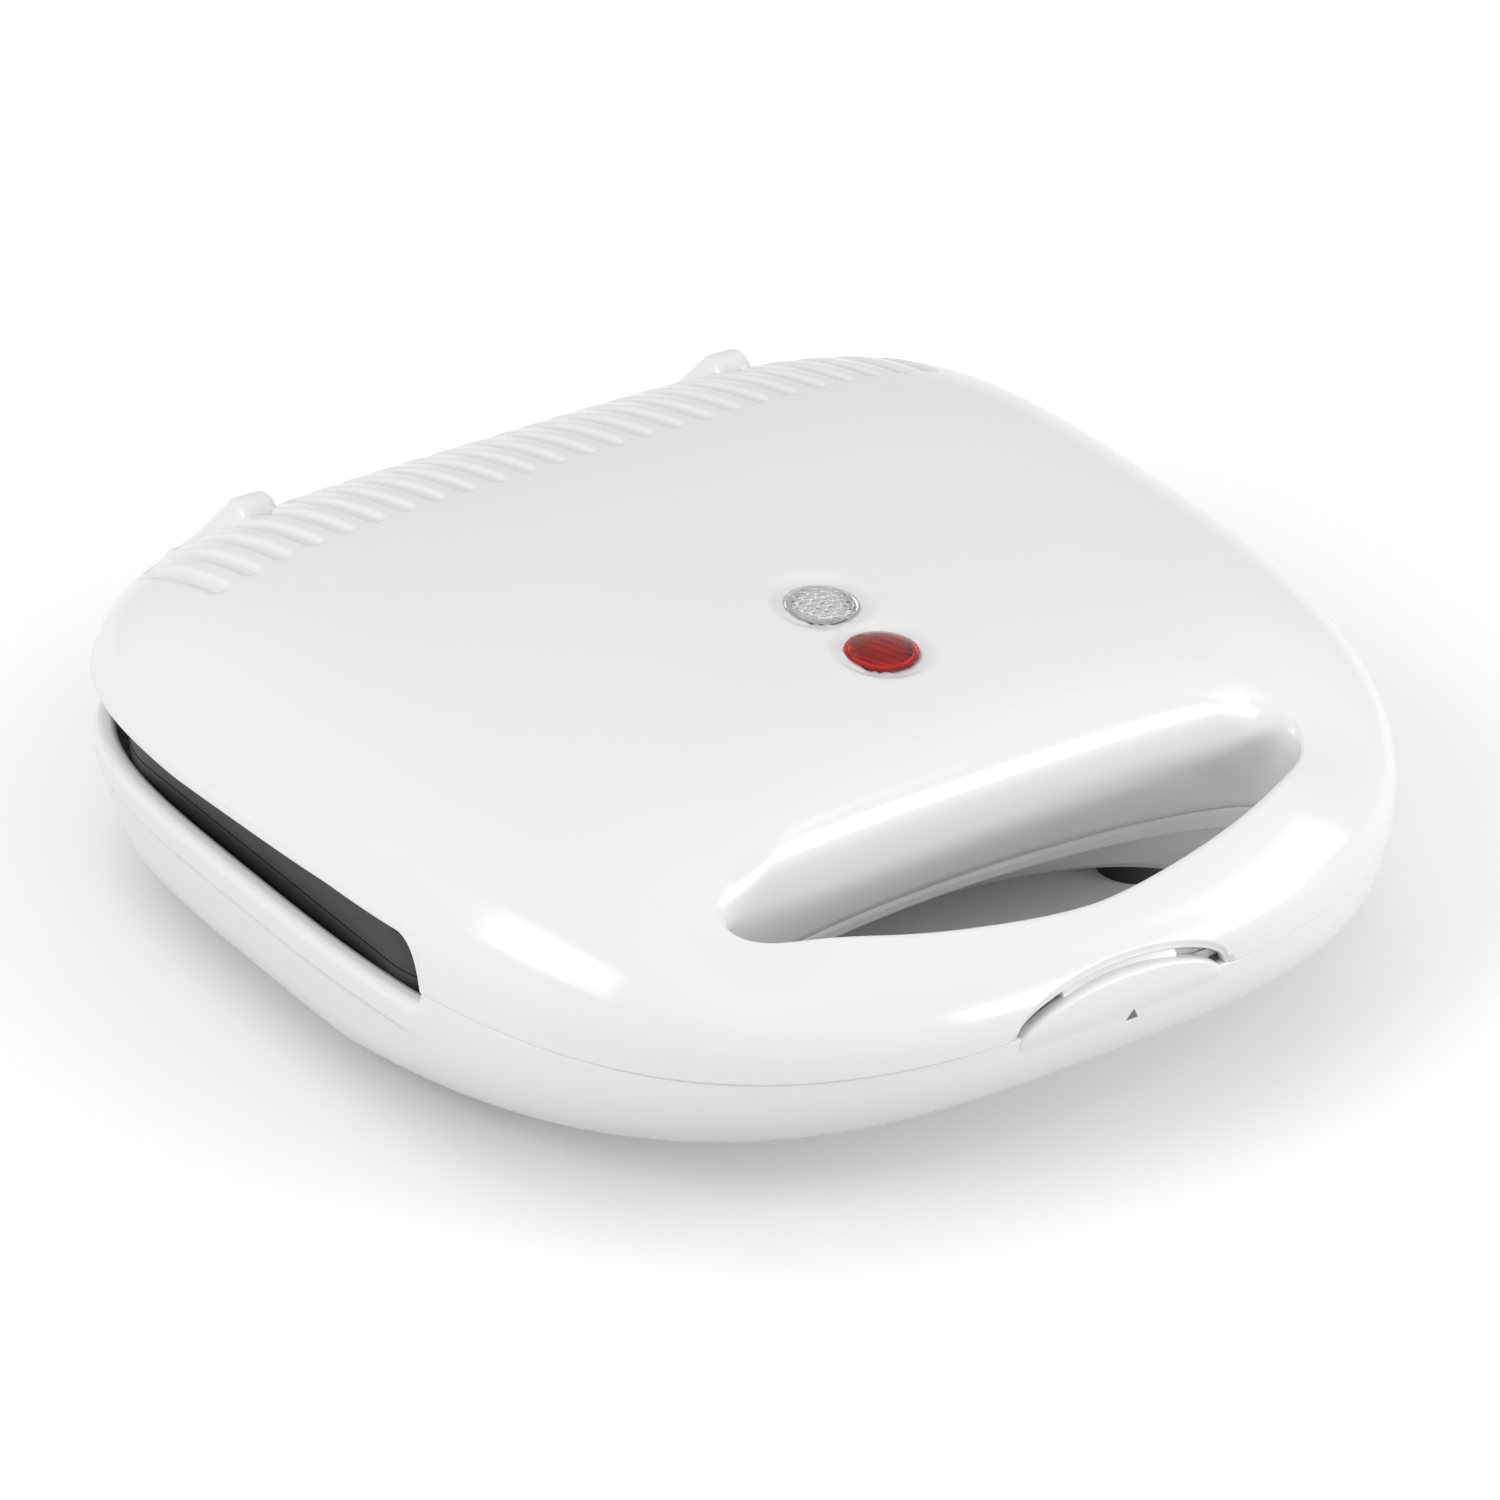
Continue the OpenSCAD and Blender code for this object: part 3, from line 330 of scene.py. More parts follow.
def turned(name: str, profile: list[tuple[float, float]], place: Vector, axis: Vector, sides: int = 48):
    """Turns a profile of (radius, height) about an axis.

    Args:
        name: the piece's name.
        profile: radius and height along the axis, from its low end.
        place: where height 0 lies, in millimetres.
        axis: the direction of the height.
        sides: points round.

    Returns:
        The closed piece.
    """
    turn = np.linspace(0.0, 2 * np.pi, sides, endpoint=False)
    data = np.array(profile, float)
    flat = np.stack([np.cos(turn), np.sin(turn)], axis=1)
    rings = np.concatenate(
        [
            data[:, None, 0:1] * flat[None],
            np.broadcast_to(data[:, None, 1:2], (len(data), sides, 1)),
        ],
        axis=2,
    )
    basis = np.array(axis.to_track_quat("Z", "Y").to_matrix())
    return capped(name, rings @ basis.T + np.array(place))


# ---------------------------------------------------------------- the shared form


@dataclass(frozen=True)
class Form:
    """The outline, crown and side that lid and base share, in millimetres."""

    width: float
    front_y: float
    front_len: float = 132.0
    back_len: float = 92.0
    parting: float = 37.5
    rise: float = 40.0
    foot: float = 7.3
    back_square: float = 4.0
    front_square: float = 3.0
    crown_in: float = 3.5
    crown_out: float = 3.2
    front_drop: float = 0.13
    back_drop: float = 0.256
    bar_drop: float = 0.36
    dip: float = 6.0
    dip_x: float = 70.0
    dip_back: float = 32.5
    dip_size: tuple[float, float] = (13.0, 15.0)
    tuck: float = 11.6
    handle_rise: float = 12.7
    flat_end: float = -16.5

    @property
    def middle(self) -> float:
        """Y of the widest line."""
        return self.front_y + self.front_len

    def outline(self, turn: Array, inset: Array | float = 0.0) -> Array:
        """A superellipse: |x/a|^n + |y/b|^n = 1, squarer behind the widest line.

        Args:
            turn: angle round, in radians, 0 to the right.
            inset: how far it is drawn in.

        Returns:
            Points by 2.
        """
        c, s = np.cos(turn), np.sin(turn)
        n = np.where(s >= 0, self.back_square, self.front_square)
        k = (np.abs(c) ** n + np.abs(s) ** n) ** (-1 / n)
        reach = np.where(s >= 0, self.back_len, self.front_len) - inset
        return np.stack([(self.width / 2 - inset) * c * k, self.middle + reach * s * k], axis=-1)

    def share(self, x: Array, y: Array, inset: float = 0.0) -> Array:
        """How far out a point lies: 0 in the middle, 1 on the outline."""
        dy = y - self.middle
        n = np.where(dy >= 0, self.back_square, self.front_square)
        reach = np.where(dy >= 0, self.back_len, self.front_len) - inset
        return (np.abs(x / (self.width / 2 - inset)) ** n + np.abs(dy / reach) ** n) ** (1 / n)

    def crown(self, y: Array) -> Array:
        """Share of the crown's height left at y: it falls as a square, and steeply at the bar."""
        back = np.clip((y - self.middle) / self.back_len, 0, None)
        front = np.clip((self.middle - y) / self.front_len, 0, None)
        fall = self.front_drop * front**2 + self.bar_drop * front**8
        return 1 - self.back_drop * back**2 - fall

    def dome(self, x: Array, y: Array, inset: float = 0.0) -> Array:
        """Height of the lid: parting + rise (1 - share^a)^(1/b), less the crown's falls.

        A soft hollow, a Gaussian in x and y, lies beside each end of the opening.
        """
        fall = np.clip(1 - self.share(x, y, inset) ** self.crown_in, 0, None) ** (1 / self.crown_out)
        across = (np.abs(x) - self.dip_x) / self.dip_size[0]
        along = (y - self.front_y - self.dip_back) / self.dip_size[1]
        hollow = self.dip * np.exp(-(across**2) - along**2) * np.clip(fall / 0.6, 0, 1)
        return self.parting + (self.rise - inset) * self.crown(y) * fall - hollow

    def edge_share(self, z: Array, y: Array, inset: float = 0.0) -> Array:
        """How far out the crown stands at height z: the dome's formula turned round.

        The crown's own fall depends on where that is, so it is found in a few rounds.
        """
        share = np.ones_like(y)
        for _ in range(8):
            crown = self.crown(self.middle + (y - self.middle) * share)
            up = np.clip((z - self.parting) / ((self.rise - inset) * crown), 0, 1)
            share = (1 - up**self.crown_out) ** (1 / self.crown_in)
        return share

    def floor(self, y: Array) -> Array:
        """Height of the underside: flat, then rising to the handle."""
        run = (self.flat_end - y) / (self.flat_end - self.front_y)
        return self.foot + self.handle_rise * np.clip(run, 0, None)

    def tub(self, z: Array, y: Array) -> Array:
        """How far the base's side has tucked in at height z."""
        down = np.clip((self.parting - z) / (self.parting - self.floor(y)), 0, 1)
        return self.tuck * (1 - np.sqrt(1 - down**2.5))


@dataclass(frozen=True)
class Grip:
    """The opening for the fingers, in millimetres."""

    form: Form
    half: float = 68.0
    bar: float = 11.3
    depth: float = 32.0
    roll: float = 16.0
    roll_end: float = 8.0
    foot_z: float = 32.0
    foot_back: float = 13.05
    foot_bow: float = 8.5
    nose_bow: float = 2.5
    foot_spread: float = 6.0
    nose_z: float = 58.0
    under_slope: float = 1.34
    corner: float = 8.0
    pole_back: float = 22.3
    front_point: float = 1.7
    rear_point: float = 2.5
    rear_room: float = 12.0

    @property
    def front(self) -> float:
        """Y of the opening's front edge."""
        return self.form.front_y + self.bar

    @property
    def nose(self) -> float:
        """Y of the foremost line of the roll."""
        return self.front + self.depth

    @property
    def foot_y(self) -> float:
        """Y of the rear wall's lower edge."""
        return self.nose + self.foot_back

    @property
    def pole(self) -> float:
        """Y of the point that the rays start from."""
        return self.front + self.pole_back

    def radius(self, turn: Array, rear: Array, bow: Array, half: Array, grow: float) -> Array:
        """Distance from the pole to the opening's wall.

        The wall is a superellipse in front and at the ends, and a bowed line at the rear; the
        two meet in rounded corners: r = (r1^-n + r2^-n)^(-1/n).

        Args:
            turn: angle of the ray.
            rear: Y of the rear wall in the middle.
            bow: how far that wall has come forward at the ends.
            half: half length of the opening.
            grow: how far the wall lies outside.

        Returns:
            The radius for each ray.
        """
        c, s = np.cos(turn), np.sin(turn)
        h = rear + grow - self.pole
        point = np.where(s < 0, self.front_point, self.rear_point)
        b = np.where(s < 0, self.pole - self.front + grow, h + self.rear_room)
        near = (np.abs(c) / (half + grow)) ** point + (np.abs(s) / b) ** point
        round_end = near ** (-1 / point)
        k = bow * c**2 / self.half**2
        line = 2 * h / np.maximum(0.01, s + np.sqrt(s**2 + 4 * k * h))
        return (round_end**-self.corner + line**-self.corner) ** (-1 / self.corner)

    def wall(self, turn: Array, z: Array, roll: Array, centre_z: Array, grow: float) -> Array:
        """Points of the opening's wall.

        From its lower edge the rear wall leans forward in a straight line that meets the roll's
        circle; below that edge it runs back under the base.

        Args:
            turn: columns by 1, the rays.
            z: columns by samples, the heights.
            roll: columns by 1, radius of the roll.
            centre_z: columns by 1, height of its middle.
            grow: how far the wall lies outside.

        Returns:
            Columns by samples by 3.
        """
        centre_y = self.nose + roll
        dy, dz = centre_y - self.foot_y, centre_z - self.foot_z
        reach = np.hypot(dy, dz)
        tangent = np.sqrt(np.clip(reach**2 - roll**2, 1, None))
        lean = np.arctan2(-dy, dz) + np.arcsin(np.clip(roll / reach, 0, 1))
        meet_y = self.foot_y - tangent * np.sin(lean)
        meet_z = self.foot_z + tangent * np.cos(lean)
        line = self.foot_y + (z - self.foot_z) * (meet_y - self.foot_y) / (meet_z - self.foot_z)
        arc = centre_y - np.sqrt(np.clip(roll**2 - (z - centre_z) ** 2, 0, None))
        under = self.foot_y + (self.foot_z - z) * self.under_slope
        rear = np.where(z < self.foot_z, under, np.where(z < meet_z, line, arc))
        rear = np.where(z > centre_z + roll, centre_y, rear)
        up = np.clip((z - self.foot_z) / (self.nose_z - self.foot_z), 0, 1)
        bow = self.foot_bow + (self.nose_bow - self.foot_bow) * up
        half = self.half + self.foot_spread * (1 - up)
        r = self.radius(turn, rear, bow, half, grow)
        return np.stack([r * np.cos(turn), self.pole + r * np.sin(turn), z + 0 * r], axis=-1)


@dataclass
class Columns:
    """The right half's columns, from the middle of the back to the middle of the front."""

    form: Form
    grip: Grip
    pitch: float = 7.4
    flutes: int = 12
    back_x: float = 97.3
    ring_share: float = 0.655
    rim_even: float = 0.14
    rim_power: float = 3.3
    cells: tuple[float, ...] = (0.0, 0.75, 1.35, 1.8, 2.15, 2.6)
    outer: Array = field(init=False)
    turn: Array = field(init=False)
    backness: Array = field(init=False)
    nose_x: Array = field(init=False)
    roll: Array = field(init=False)
    centre_z: Array = field(init=False)

    def __post_init__(self) -> None:
        """Places the columns on the outline and on the opening's rim."""
        back_x = self._flute_lines()
        t = np.linspace(np.pi / 2, -np.pi / 2, 40001)
        line = self.form.outline(t)
        along = lengths(line)
        rear = len(line) // 2 + 1
        start = float(np.interp(self.back_x, line[:rear, 0], along[:rear]))
        count_at = self._density(line) * np.gradient(along)
        count_at[along < start] = 0
        tally = np.cumsum(count_at)
        rest = int(round(tally[-1]))
        marks = np.linspace(0, tally[-1], rest + 1)[1:]
        rest_along = np.interp(marks, tally, along)
        back_along = np.interp(back_x, line[:rear, 0], along[:rear])
        place = np.concatenate([back_along, rest_along])
        self.outer = np.stack([np.interp(place, along, line[:, k]) for k in (0, 1)], axis=1)
        self.outer[: len(back_x), 0] = back_x
        self.outer[[0, -1], 0] = 0.0
        share = (rest_along - start) / (along[-1] - start)
        self.backness = np.concatenate([np.ones(len(back_x)), 1 - ease(share / 0.4)])
        self._place_on_rim(back_x, share)

    def _flute_lines(self) -> Array:
        """X of the columns along the back: closer where a flute's sides are steep."""
        half = np.array(self.cells)
        one = np.concatenate([-half[:0:-1], half])
        lines = (np.arange(-self.flutes, self.flutes + 1)[:, None] * self.pitch + one[None]).ravel()
        gaps = (np.arange(-self.flutes, self.flutes) + 0.5) * self.pitch
        lines = np.sort(np.concatenate([lines, gaps]))
        lines = lines[lines > -1e-6]
        return np.concatenate([lines, np.linspace(lines[-1], self.back_x, 6)[1:]])

    def _density(self, line: Array) -> Array:
        """Columns for each millimetre of outline: more at the gap's end and the latch's ends."""
        x, y = line[:, 0], line[:, 1]
        side = 0.40 + 0.30 * ease((-50 - y) / 30)
        gap_end = 1.4 * bump(y, -45.5, -37, 2.5) * (x > 90)
        latch_end = 1.4 * bump(x, 21.5, 28.5, 2.5) * (y < 0)
        return side + gap_end + latch_end

    def _place_on_rim(self, back_x: Array, share: Array) -> None:
        """Finds each column's ray, so that neighbouring columns never cross."""
        ray = np.linspace(np.pi / 2, -np.pi / 2, 20001)
        g = self.grip
        r = g.radius(ray, g.nose, g.nose_bow, g.half, 0.0)
        rim = np.stack([r * np.cos(ray), g.pole + r * np.sin(ray)], axis=1)
        along = lengths(rim)
        widest = int(np.argmax(rim[:, 0]))
        back_at = np.interp(back_x * self.ring_share, rim[:widest, 0], along[:widest])
        spread = self.rim_even * share + (1 - self.rim_even) * share**self.rim_power
        rest_at = back_at[-1] + (along[-1] - back_at[-1]) * spread
        place = np.concatenate([back_at, rest_at])
        self.turn = np.interp(place, along, ray)
        self.turn[[0, -1]] = np.pi / 2, -np.pi / 2
        self.nose_x = np.interp(place, along, rim[:, 0])
        out = np.clip(self.nose_x / (g.half + 1.5), 0, 1)
        self.roll = g.roll_end + (g.roll - g.roll_end) * (1 - out**4)
        top_y = np.full(len(place), g.nose + 9.0)
        for _ in range(6):
            ahead, behind = (self.form.dome(self.nose_x, top_y + step) for step in (0.5, -0.5))
            tilt = np.arctan(ahead - behind)
            top_y = g.nose + self.roll * (1 - np.sin(tilt))
        self.centre_z = self.form.dome(self.nose_x, top_y) - self.roll * np.cos(tilt)

    def wall(self, z: Array, grow: float) -> Array:
        """The opening's wall on every column: heights by columns in, points by 3 out."""
        return self.grip.wall(self.turn[:, None], z, self.roll[:, None], self.centre_z[:, None], grow)


def shell(name: str, half: Array) -> bpy.types.Object:
    """Mirrors the right half's columns to the left and closes the round.

    Args:
        name: the piece's name.
        half: columns by rows by 3, from the back's middle to the front's middle.

    Returns:
        The closed shell.
    """
    half[[0, -1], :, 0] = 0.0
    left = half[1:-1] * np.array([-1.0, 1.0, 1.0])
    grid = np.swapaxes(np.concatenate([half[::-1], left], axis=0), 0, 1)
    rows, columns, _ = grid.shape
    LOG.info("%s: %d rows by %d columns", name, rows, columns)
    return build(name, grid, band(rows, columns, True))


# ---------------------------------------------------------------- materials


def add(tree: bpy.types.NodeTree, kind: str, links: dict | None = None, **values) -> bpy.types.Node:
    """Adds one node with its settings and links.

    Args:
        tree: the material's node tree.
        kind: the node's type.
        links: input name or index to an output socket, or to a plain value.
        values: settings of the node itself.

    Returns:
        The new node.
    """
    node = tree.nodes.new(kind)
    for key, value in values.items():
        setattr(node, key, value)
    for key, source in (links or {}).items():
        if isinstance(source, bpy.types.NodeSocket):
            tree.links.new(source, node.inputs[key])
        else:
            node.inputs[key].default_value = source
    return node


def started(name: str) -> tuple[bpy.types.Material, bpy.types.NodeTree]:
    """Starts a material: the material and its node tree."""
    material = bpy.data.materials.new(name)
    material.use_nodes = True
    return material, material.node_tree


def textured(tree: bpy.types.NodeTree, height: bpy.types.NodeSocket, sheen: tuple, relief: float) -> None:
    """Lets a pattern's height drive the gloss and stand out from the surface.

    Args:
        tree: the material's node tree.
        height: the pattern.
        sheen: the roughness at its lowest and at its highest.
        relief: the pattern's depth in millimetres.
    """
    shader = tree.nodes["Principled BSDF"]
    gloss = add(tree, "ShaderNodeMapRange", {"Value": height, "To Min": sheen[0], "To Max": sheen[1]})
    tree.links.new(gloss.outputs["Result"], shader.inputs["Roughness"])
    grain = add(tree, "ShaderNodeBump", {"Height": height, "Distance": relief * MM})
    tree.links.new(grain.outputs["Normal"], shader.inputs["Normal"])


@dataclass(frozen=True)
class Moulded:
    """Moulded, painted, coated or rolled stock: one colour, a faint mottle and a fine grain.

    colour and deep are sRGB; mottle and grain are real sizes in millimetres; relief is the
    grain's height in millimetres.
    """

    name: str
    colour: str
    deep: str
    roughness: float
    mottle: float
    grain: float
    relief: float
    metallic: float = 0.0
    ior: float = 1.5
    coat: float = 0.0
    coat_roughness: float = 0.06
    stretch: tuple[float, float, float] = (1.0, 1.0, 1.0)
    spread: float = 0.06

    def make(self) -> bpy.types.Material:
        """Builds the material's nodes.

        Returns:
            The material.
        """
        material, tree = started(self.name)
        shader = tree.nodes["Principled BSDF"]
        place = add(tree, "ShaderNodeTexCoord")
        scaled = add(tree, "ShaderNodeMapping", {"Vector": place.outputs["Object"], "Scale": self.stretch})
        where = scaled.outputs["Vector"]
        mottle = add(
            tree, "ShaderNodeTexNoise", {"Vector": where, "Scale": 1 / (self.mottle * MM), "Detail": 3.0}
        )
        grain = add(
            tree, "ShaderNodeTexNoise", {"Vector": where, "Scale": 1 / (self.grain * MM), "Detail": 2.0}
        )
        tint = add(
            tree,
            "ShaderNodeMix",
            {0: mottle.outputs["Fac"], 6: linear(self.deep), 7: linear(self.colour)},
            data_type="RGBA",
        )
        tree.links.new(tint.outputs[2], shader.inputs["Base Color"])
        sheen = (max(0.02, self.roughness - self.spread), min(1.0, self.roughness + self.spread))
        textured(tree, grain.outputs["Fac"], sheen, self.relief)
        shader.inputs["Metallic"].default_value = self.metallic
        if not self.metallic:
            shader.inputs["IOR"].default_value = self.ior
        shader.inputs["Coat Weight"].default_value = self.coat
        shader.inputs["Coat Roughness"].default_value = self.coat_roughness
        return material


@dataclass(frozen=True)
class ClearStock:
    """Clear or dyed lens plastic: light passes through it and its faces glint."""

    name: str
    colour: str
    roughness: float
    ior: float = 1.49
    ripple: float = 0.9
    relief: float = 0.03
    spread: float = 0.4

    def make(self) -> bpy.types.Material:
        """Builds the material's nodes.

        Returns:
            The material.
        """
        material, tree = started(self.name)
        shader = tree.nodes["Principled BSDF"]
        place = add(tree, "ShaderNodeTexCoord")
        where, scale = place.outputs["Object"], 1 / (self.ripple * MM)
        ripple = add(tree, "ShaderNodeTexNoise", {"Vector": where, "Scale": scale, "Detail": 1.0})
        sheen = (self.roughness * (1 - self.spread), self.roughness * (1 + self.spread))
        textured(tree, ripple.outputs["Fac"], sheen, self.relief)
        shader.inputs["Base Color"].default_value = linear(self.colour)
        shader.inputs["Transmission Weight"].default_value = 1.0
        shader.inputs["IOR"].default_value = self.ior
        return material


# White ABS straight from a polished mould: glossy, with the faintest orange peel.
WHITE_ABS = Moulded("white_moulded_abs", "#EBEBED", "#E8E8EA", 0.2, 60, 1.6, 0.004, coat=0.2)
# The same plastic off a plain mould, for strips, clamp and bushing: duller.
PLAIN_ABS = Moulded("white_plain_abs", "#E9E9E7", "#E2E2DF", 0.42, 20, 0.9, 0.02)
# Non-stick fluoropolymer over a die casting: near black, satin, with a fine sprayed grain.
NONSTICK = Moulded("nonstick_coating", "#2B2B2C", "#1E1E20", 0.42, 8, 0.5, 0.03)
# Steel heater sheath, browned by heat.
SHEATH = Moulded("browned_steel_sheath", "#5A544E", "#413B36", 0.5, 12, 0.6, 0.02, metallic=0.8)
# Rolled aluminium sheet: bright, with rolling lines along X.
ROLLED = (0.04, 1, 1)
SHEET = Moulded("rolled_aluminium_sheet", "#CFD0D1", "#BFC0C2", 0.3, 30, 0.7, 0.006, 1.0, stretch=ROLLED)
# Bright zinc on turned or headed steel.
ZINC = Moulded("zinc_plated_steel", "#B9BABC", "#A2A4A6", 0.32, 2.5, 0.4, 0.005, metallic=1.0)
# Spring steel, blued a little.
SPRING = Moulded("spring_steel_strip", "#8E9094", "#77797E", 0.35, 4, 0.5, 0.004, metallic=1.0)
# Phenolic moulding of a thermostat: brown and matte.
PHENOLIC = Moulded("brown_phenolic", "#7A6248", "#69533B", 0.55, 5, 0.6, 0.02)
# Woven glass sleeve on the thermal fuse: fine cross threads.
SLEEVE = Moulded("woven_glass_sleeve", "#E2DCC8", "#C9C1A8", 0.75, 1.2, 0.5, 0.06, stretch=(1, 0.3, 1))
# Cream polyamide, for the terminal block and the lamp holder.
POLYAMIDE = Moulded("cream_polyamide", "#E6E0CE", "#DAD3BE", 0.48, 8, 0.7, 0.015)
# Silicone-rubber insulation on the leads: dull red.
SILICONE = Moulded("red_silicone_insulation", "#A3271F", "#8A1F19", 0.5, 6, 0.8, 0.01)
# Moulded rubber feet: dark grey, dusty and dull.
RUBBER = Moulded("moulded_rubber", "#3A3A3B", "#2D2D2E", 0.72, 4, 0.6, 0.03)
# The printed triangle on the latch: grey pad ink.
INK = Moulded("grey_pad_ink", "#77777A", "#6C6C6F", 0.5, 3, 0.6, 0.002)
# Cast acrylic of the two lenses: a rippled, glinting surface that light passes through.
CLEAR_LENS = ClearStock("clear_acrylic", "#FCFCFD", 0.1)
RED_LENS = ClearStock("red_acrylic", "#D21806", 0.05)
# Drawn glass of the small lamps, tinted warm all over: a painted glow that stands in for the lit filament
# behind it.
GLOW_TINTED_LAMP_GLASS = ClearStock("lamp_glass", "#FBE9D6", 0.03, ior=1.5)
# Moulded cups under the lenses, whose colours are painted light: a pale grey painted shade under the clear
# one, and a painted red glow, as if the red lamp lit it, under the red one.
SHADE_PAINTED_CUP = Moulded("painted_shade_lamp_cup", "#E2E3E5", "#CFD0D2", 0.4, 1.1, 0.5, 0.05)
RED_GLOW_PAINTED_CUP = Moulded("painted_red_glow_lamp_cup", "#E2503A", "#B01208", 0.4, 1.2, 0.5, 0.05)


class Finishes:
    """Makes each finish once and hands it out by its stock."""

    def __init__(self) -> None:
        """Starts with nothing made."""
        self._made: dict[str, bpy.types.Material] = {}

    def dress(self, piece: bpy.types.Object, stock: Moulded | ClearStock) -> None:
        """Gives a piece its finish.

        Args:
            piece: the object.
            stock: what it is made of.
        """
        if stock.name not in self._made:
            self._made[stock.name] = stock.make()
        piece.data.materials.clear()
        piece.data.materials.append(self._made[stock.name])


# ---------------------------------------------------------------- the lid's shell


@dataclass
class LidShell:
    """The domed lid: crown, flutes, lamp recess, side gaps and latch arch."""

    columns: Columns
    wall: float = 2.5
    edge_gap: float = 0.25
    brow: float = 3.2
    brow_turn: float = 0.05
    brow_spread: float = 0.45
    gap_front: float = -44.0
    gap_step: float = 7.0
    gap_front_z: float = 48.1
    gap_rear_z: float = 45.2
    gap_fall: tuple[float, float] = (-16.0, 36.0)
    gap_in: tuple[float, float] = (84.5, 88.5)
    front_zone: float = 20.0
    arch_half: float = 25.7
    arch_rise: float = 8.1
    arch_band: float = 1.7
    arch_sink: float = 0.7
    border: float = 2.8
    border_rise: float = 0.25
    flute_depth: float = 1.15
    flute_start: float = 58.0
    flute_end: float = 0.93
    lamps: tuple[float, float] = (-19.0, -38.5)
    recess: float = 10.0
    recess_depth: float = 0.9
    well: float = 6.6
    well_depth: float = 1.9

    def edge_z(self) -> Array:
        """Height of the lid's lower edge on each column."""
        form = self.columns.form
        x, y = self.columns.outer[:, 0], self.columns.outer[:, 1]
        base = np.full(len(x), form.parting + self.edge_gap)
        level = np.interp(y, self.gap_fall, (self.gap_front_z, self.gap_rear_z))
        run = np.clip((y - self.gap_front) / self.gap_step, 0, 1)
        step = np.sqrt(1 - (1 - run) ** 2)
        start, end = self.gap_in
        inward = np.where(y > form.middle, ease((x - start) / (end - start)), 1)
        gap = base + (level - base) * step * inward
        arch = self.arch_rise * np.sqrt(np.clip(1 - (x / self.arch_half) ** 2, 0, 1))
        return np.where(y < form.front_y + self.front_zone, base + arch * (x < self.arch_half), gap)

    def _plan(self, rim: Array, inset: float, edge: Array, samples: int) -> Array:
        """Columns' plan lines from the rim to the edge, bent so that they run along the flutes.

        Args:
            rim: columns by 2.
            inset: 0 outside, the wall inside.
            edge: height of the lower edge.
            samples: points on each line.

        Returns:
            Columns by samples by 2.
        """
        cols = self.columns
        form = cols.form
        full = cols.outer - np.array([0.0, form.middle])
        reach = form.edge_share(edge, cols.outer[:, 1], inset)
        scale_x = (form.width / 2 - inset) / (form.width / 2)
        half_len = np.where(full[:, 1] >= 0, form.back_len, form.front_len)
        scale_y = (half_len - inset) / half_len
        end = np.stack([full[:, 0] * scale_x, full[:, 1] * scale_y], axis=1) * reach[:, None]
        end[:, 1] += form.middle
        w = 1 - (1 - np.linspace(0, 1, samples)[None]) ** 2.6
        b = cols.backness[:, None]
        across = (1 - b) * w + b * ease(w / 0.72)
        x = rim[:, 0:1] + (end[:, 0:1] - rim[:, 0:1]) * across
        y = rim[:, 1:2] + (end[:, 1:2] - rim[:, 1:2]) * w
        return np.stack([x, y], axis=-1)

    def _rim(self, low: float, inset: float) -> tuple[Array, Array]:
        """Climbs the opening's wall to where it meets the crown.

        Args:
            low: height of the wall's foot.
            inset: 0 outside, the wall's thickness inside.

        Returns:
            The wall's line on each column and the points where it ends.
        """
        cols = self.columns
        form = cols.form
        z = np.linspace(low, form.parting + form.rise, 900)[None] + 0 * cols.turn[:, None]
        wall = cols.wall(z, inset)
        above = form.dome(wall[..., 0], wall[..., 1], inset) - z
        hit = above < 0.04
        first = np.where(hit.any(axis=1), hit.argmax(axis=1), np.argmin(above, axis=1))
        top = z[0][first]
        z = low + (top - low)[:, None] * np.linspace(0, 1, 300)[None]
        wall = cols.wall(z, inset)
        return wall, wall[:, -1]

    def outside(self) -> Array:
        """The outer skin from the wall's foot over the crown to the lower edge.

        Returns:
            Columns by rows by 3.
        """
        cols = self.columns
        form = cols.form
        edge = self.edge_z()
        low = form.parting + self.edge_gap
        wall, rim = self._rim(low, 0.0)
        plan = self._plan(rim[:, :2], 0.0, edge, 700)
        z = form.dome(plan[..., 0], plan[..., 1])
        top = np.concatenate([plan, z[..., None]], axis=-1)
        top[:, 0, 2] = np.minimum(top[:, 0, 2], rim[:, 2] + 0.04)
        reach = self.brow * (1 + np.exp(-(((cols.turn - self.brow_turn) / self.brow_spread) ** 2)))
        wall_end, wall_line = cut_at(wall, reach, False)
        top_start, top_line = cut_at(top, reach, True)
        fillet = round_corner(wall_end, rim, top_start, 7)
        weight = self._rows(top_line, edge[:, None])
        return np.concatenate([walk(wall_line, 13), fillet, walk(top_line, 106, weight)], axis=1)

    def _rows(self, line: Array, edge: Array) -> Array:
        """How close the rows lie: closer at the lamps, the flutes' starts, the side and the edge."""
        b = self.columns.backness[:, None]
        y, z = line[..., 1], line[..., 2]
        lamps = 0.62 * b * bump(y, -56, -5, 3)
        flutes = b * bump(y, self.flute_start - 1.5, self.flute_start + 4, 2)
        return 0.42 + lamps + flutes + 0.25 * ease((60 - z) / 8) + 0.6 * ease((edge + 4 - z) / 3)

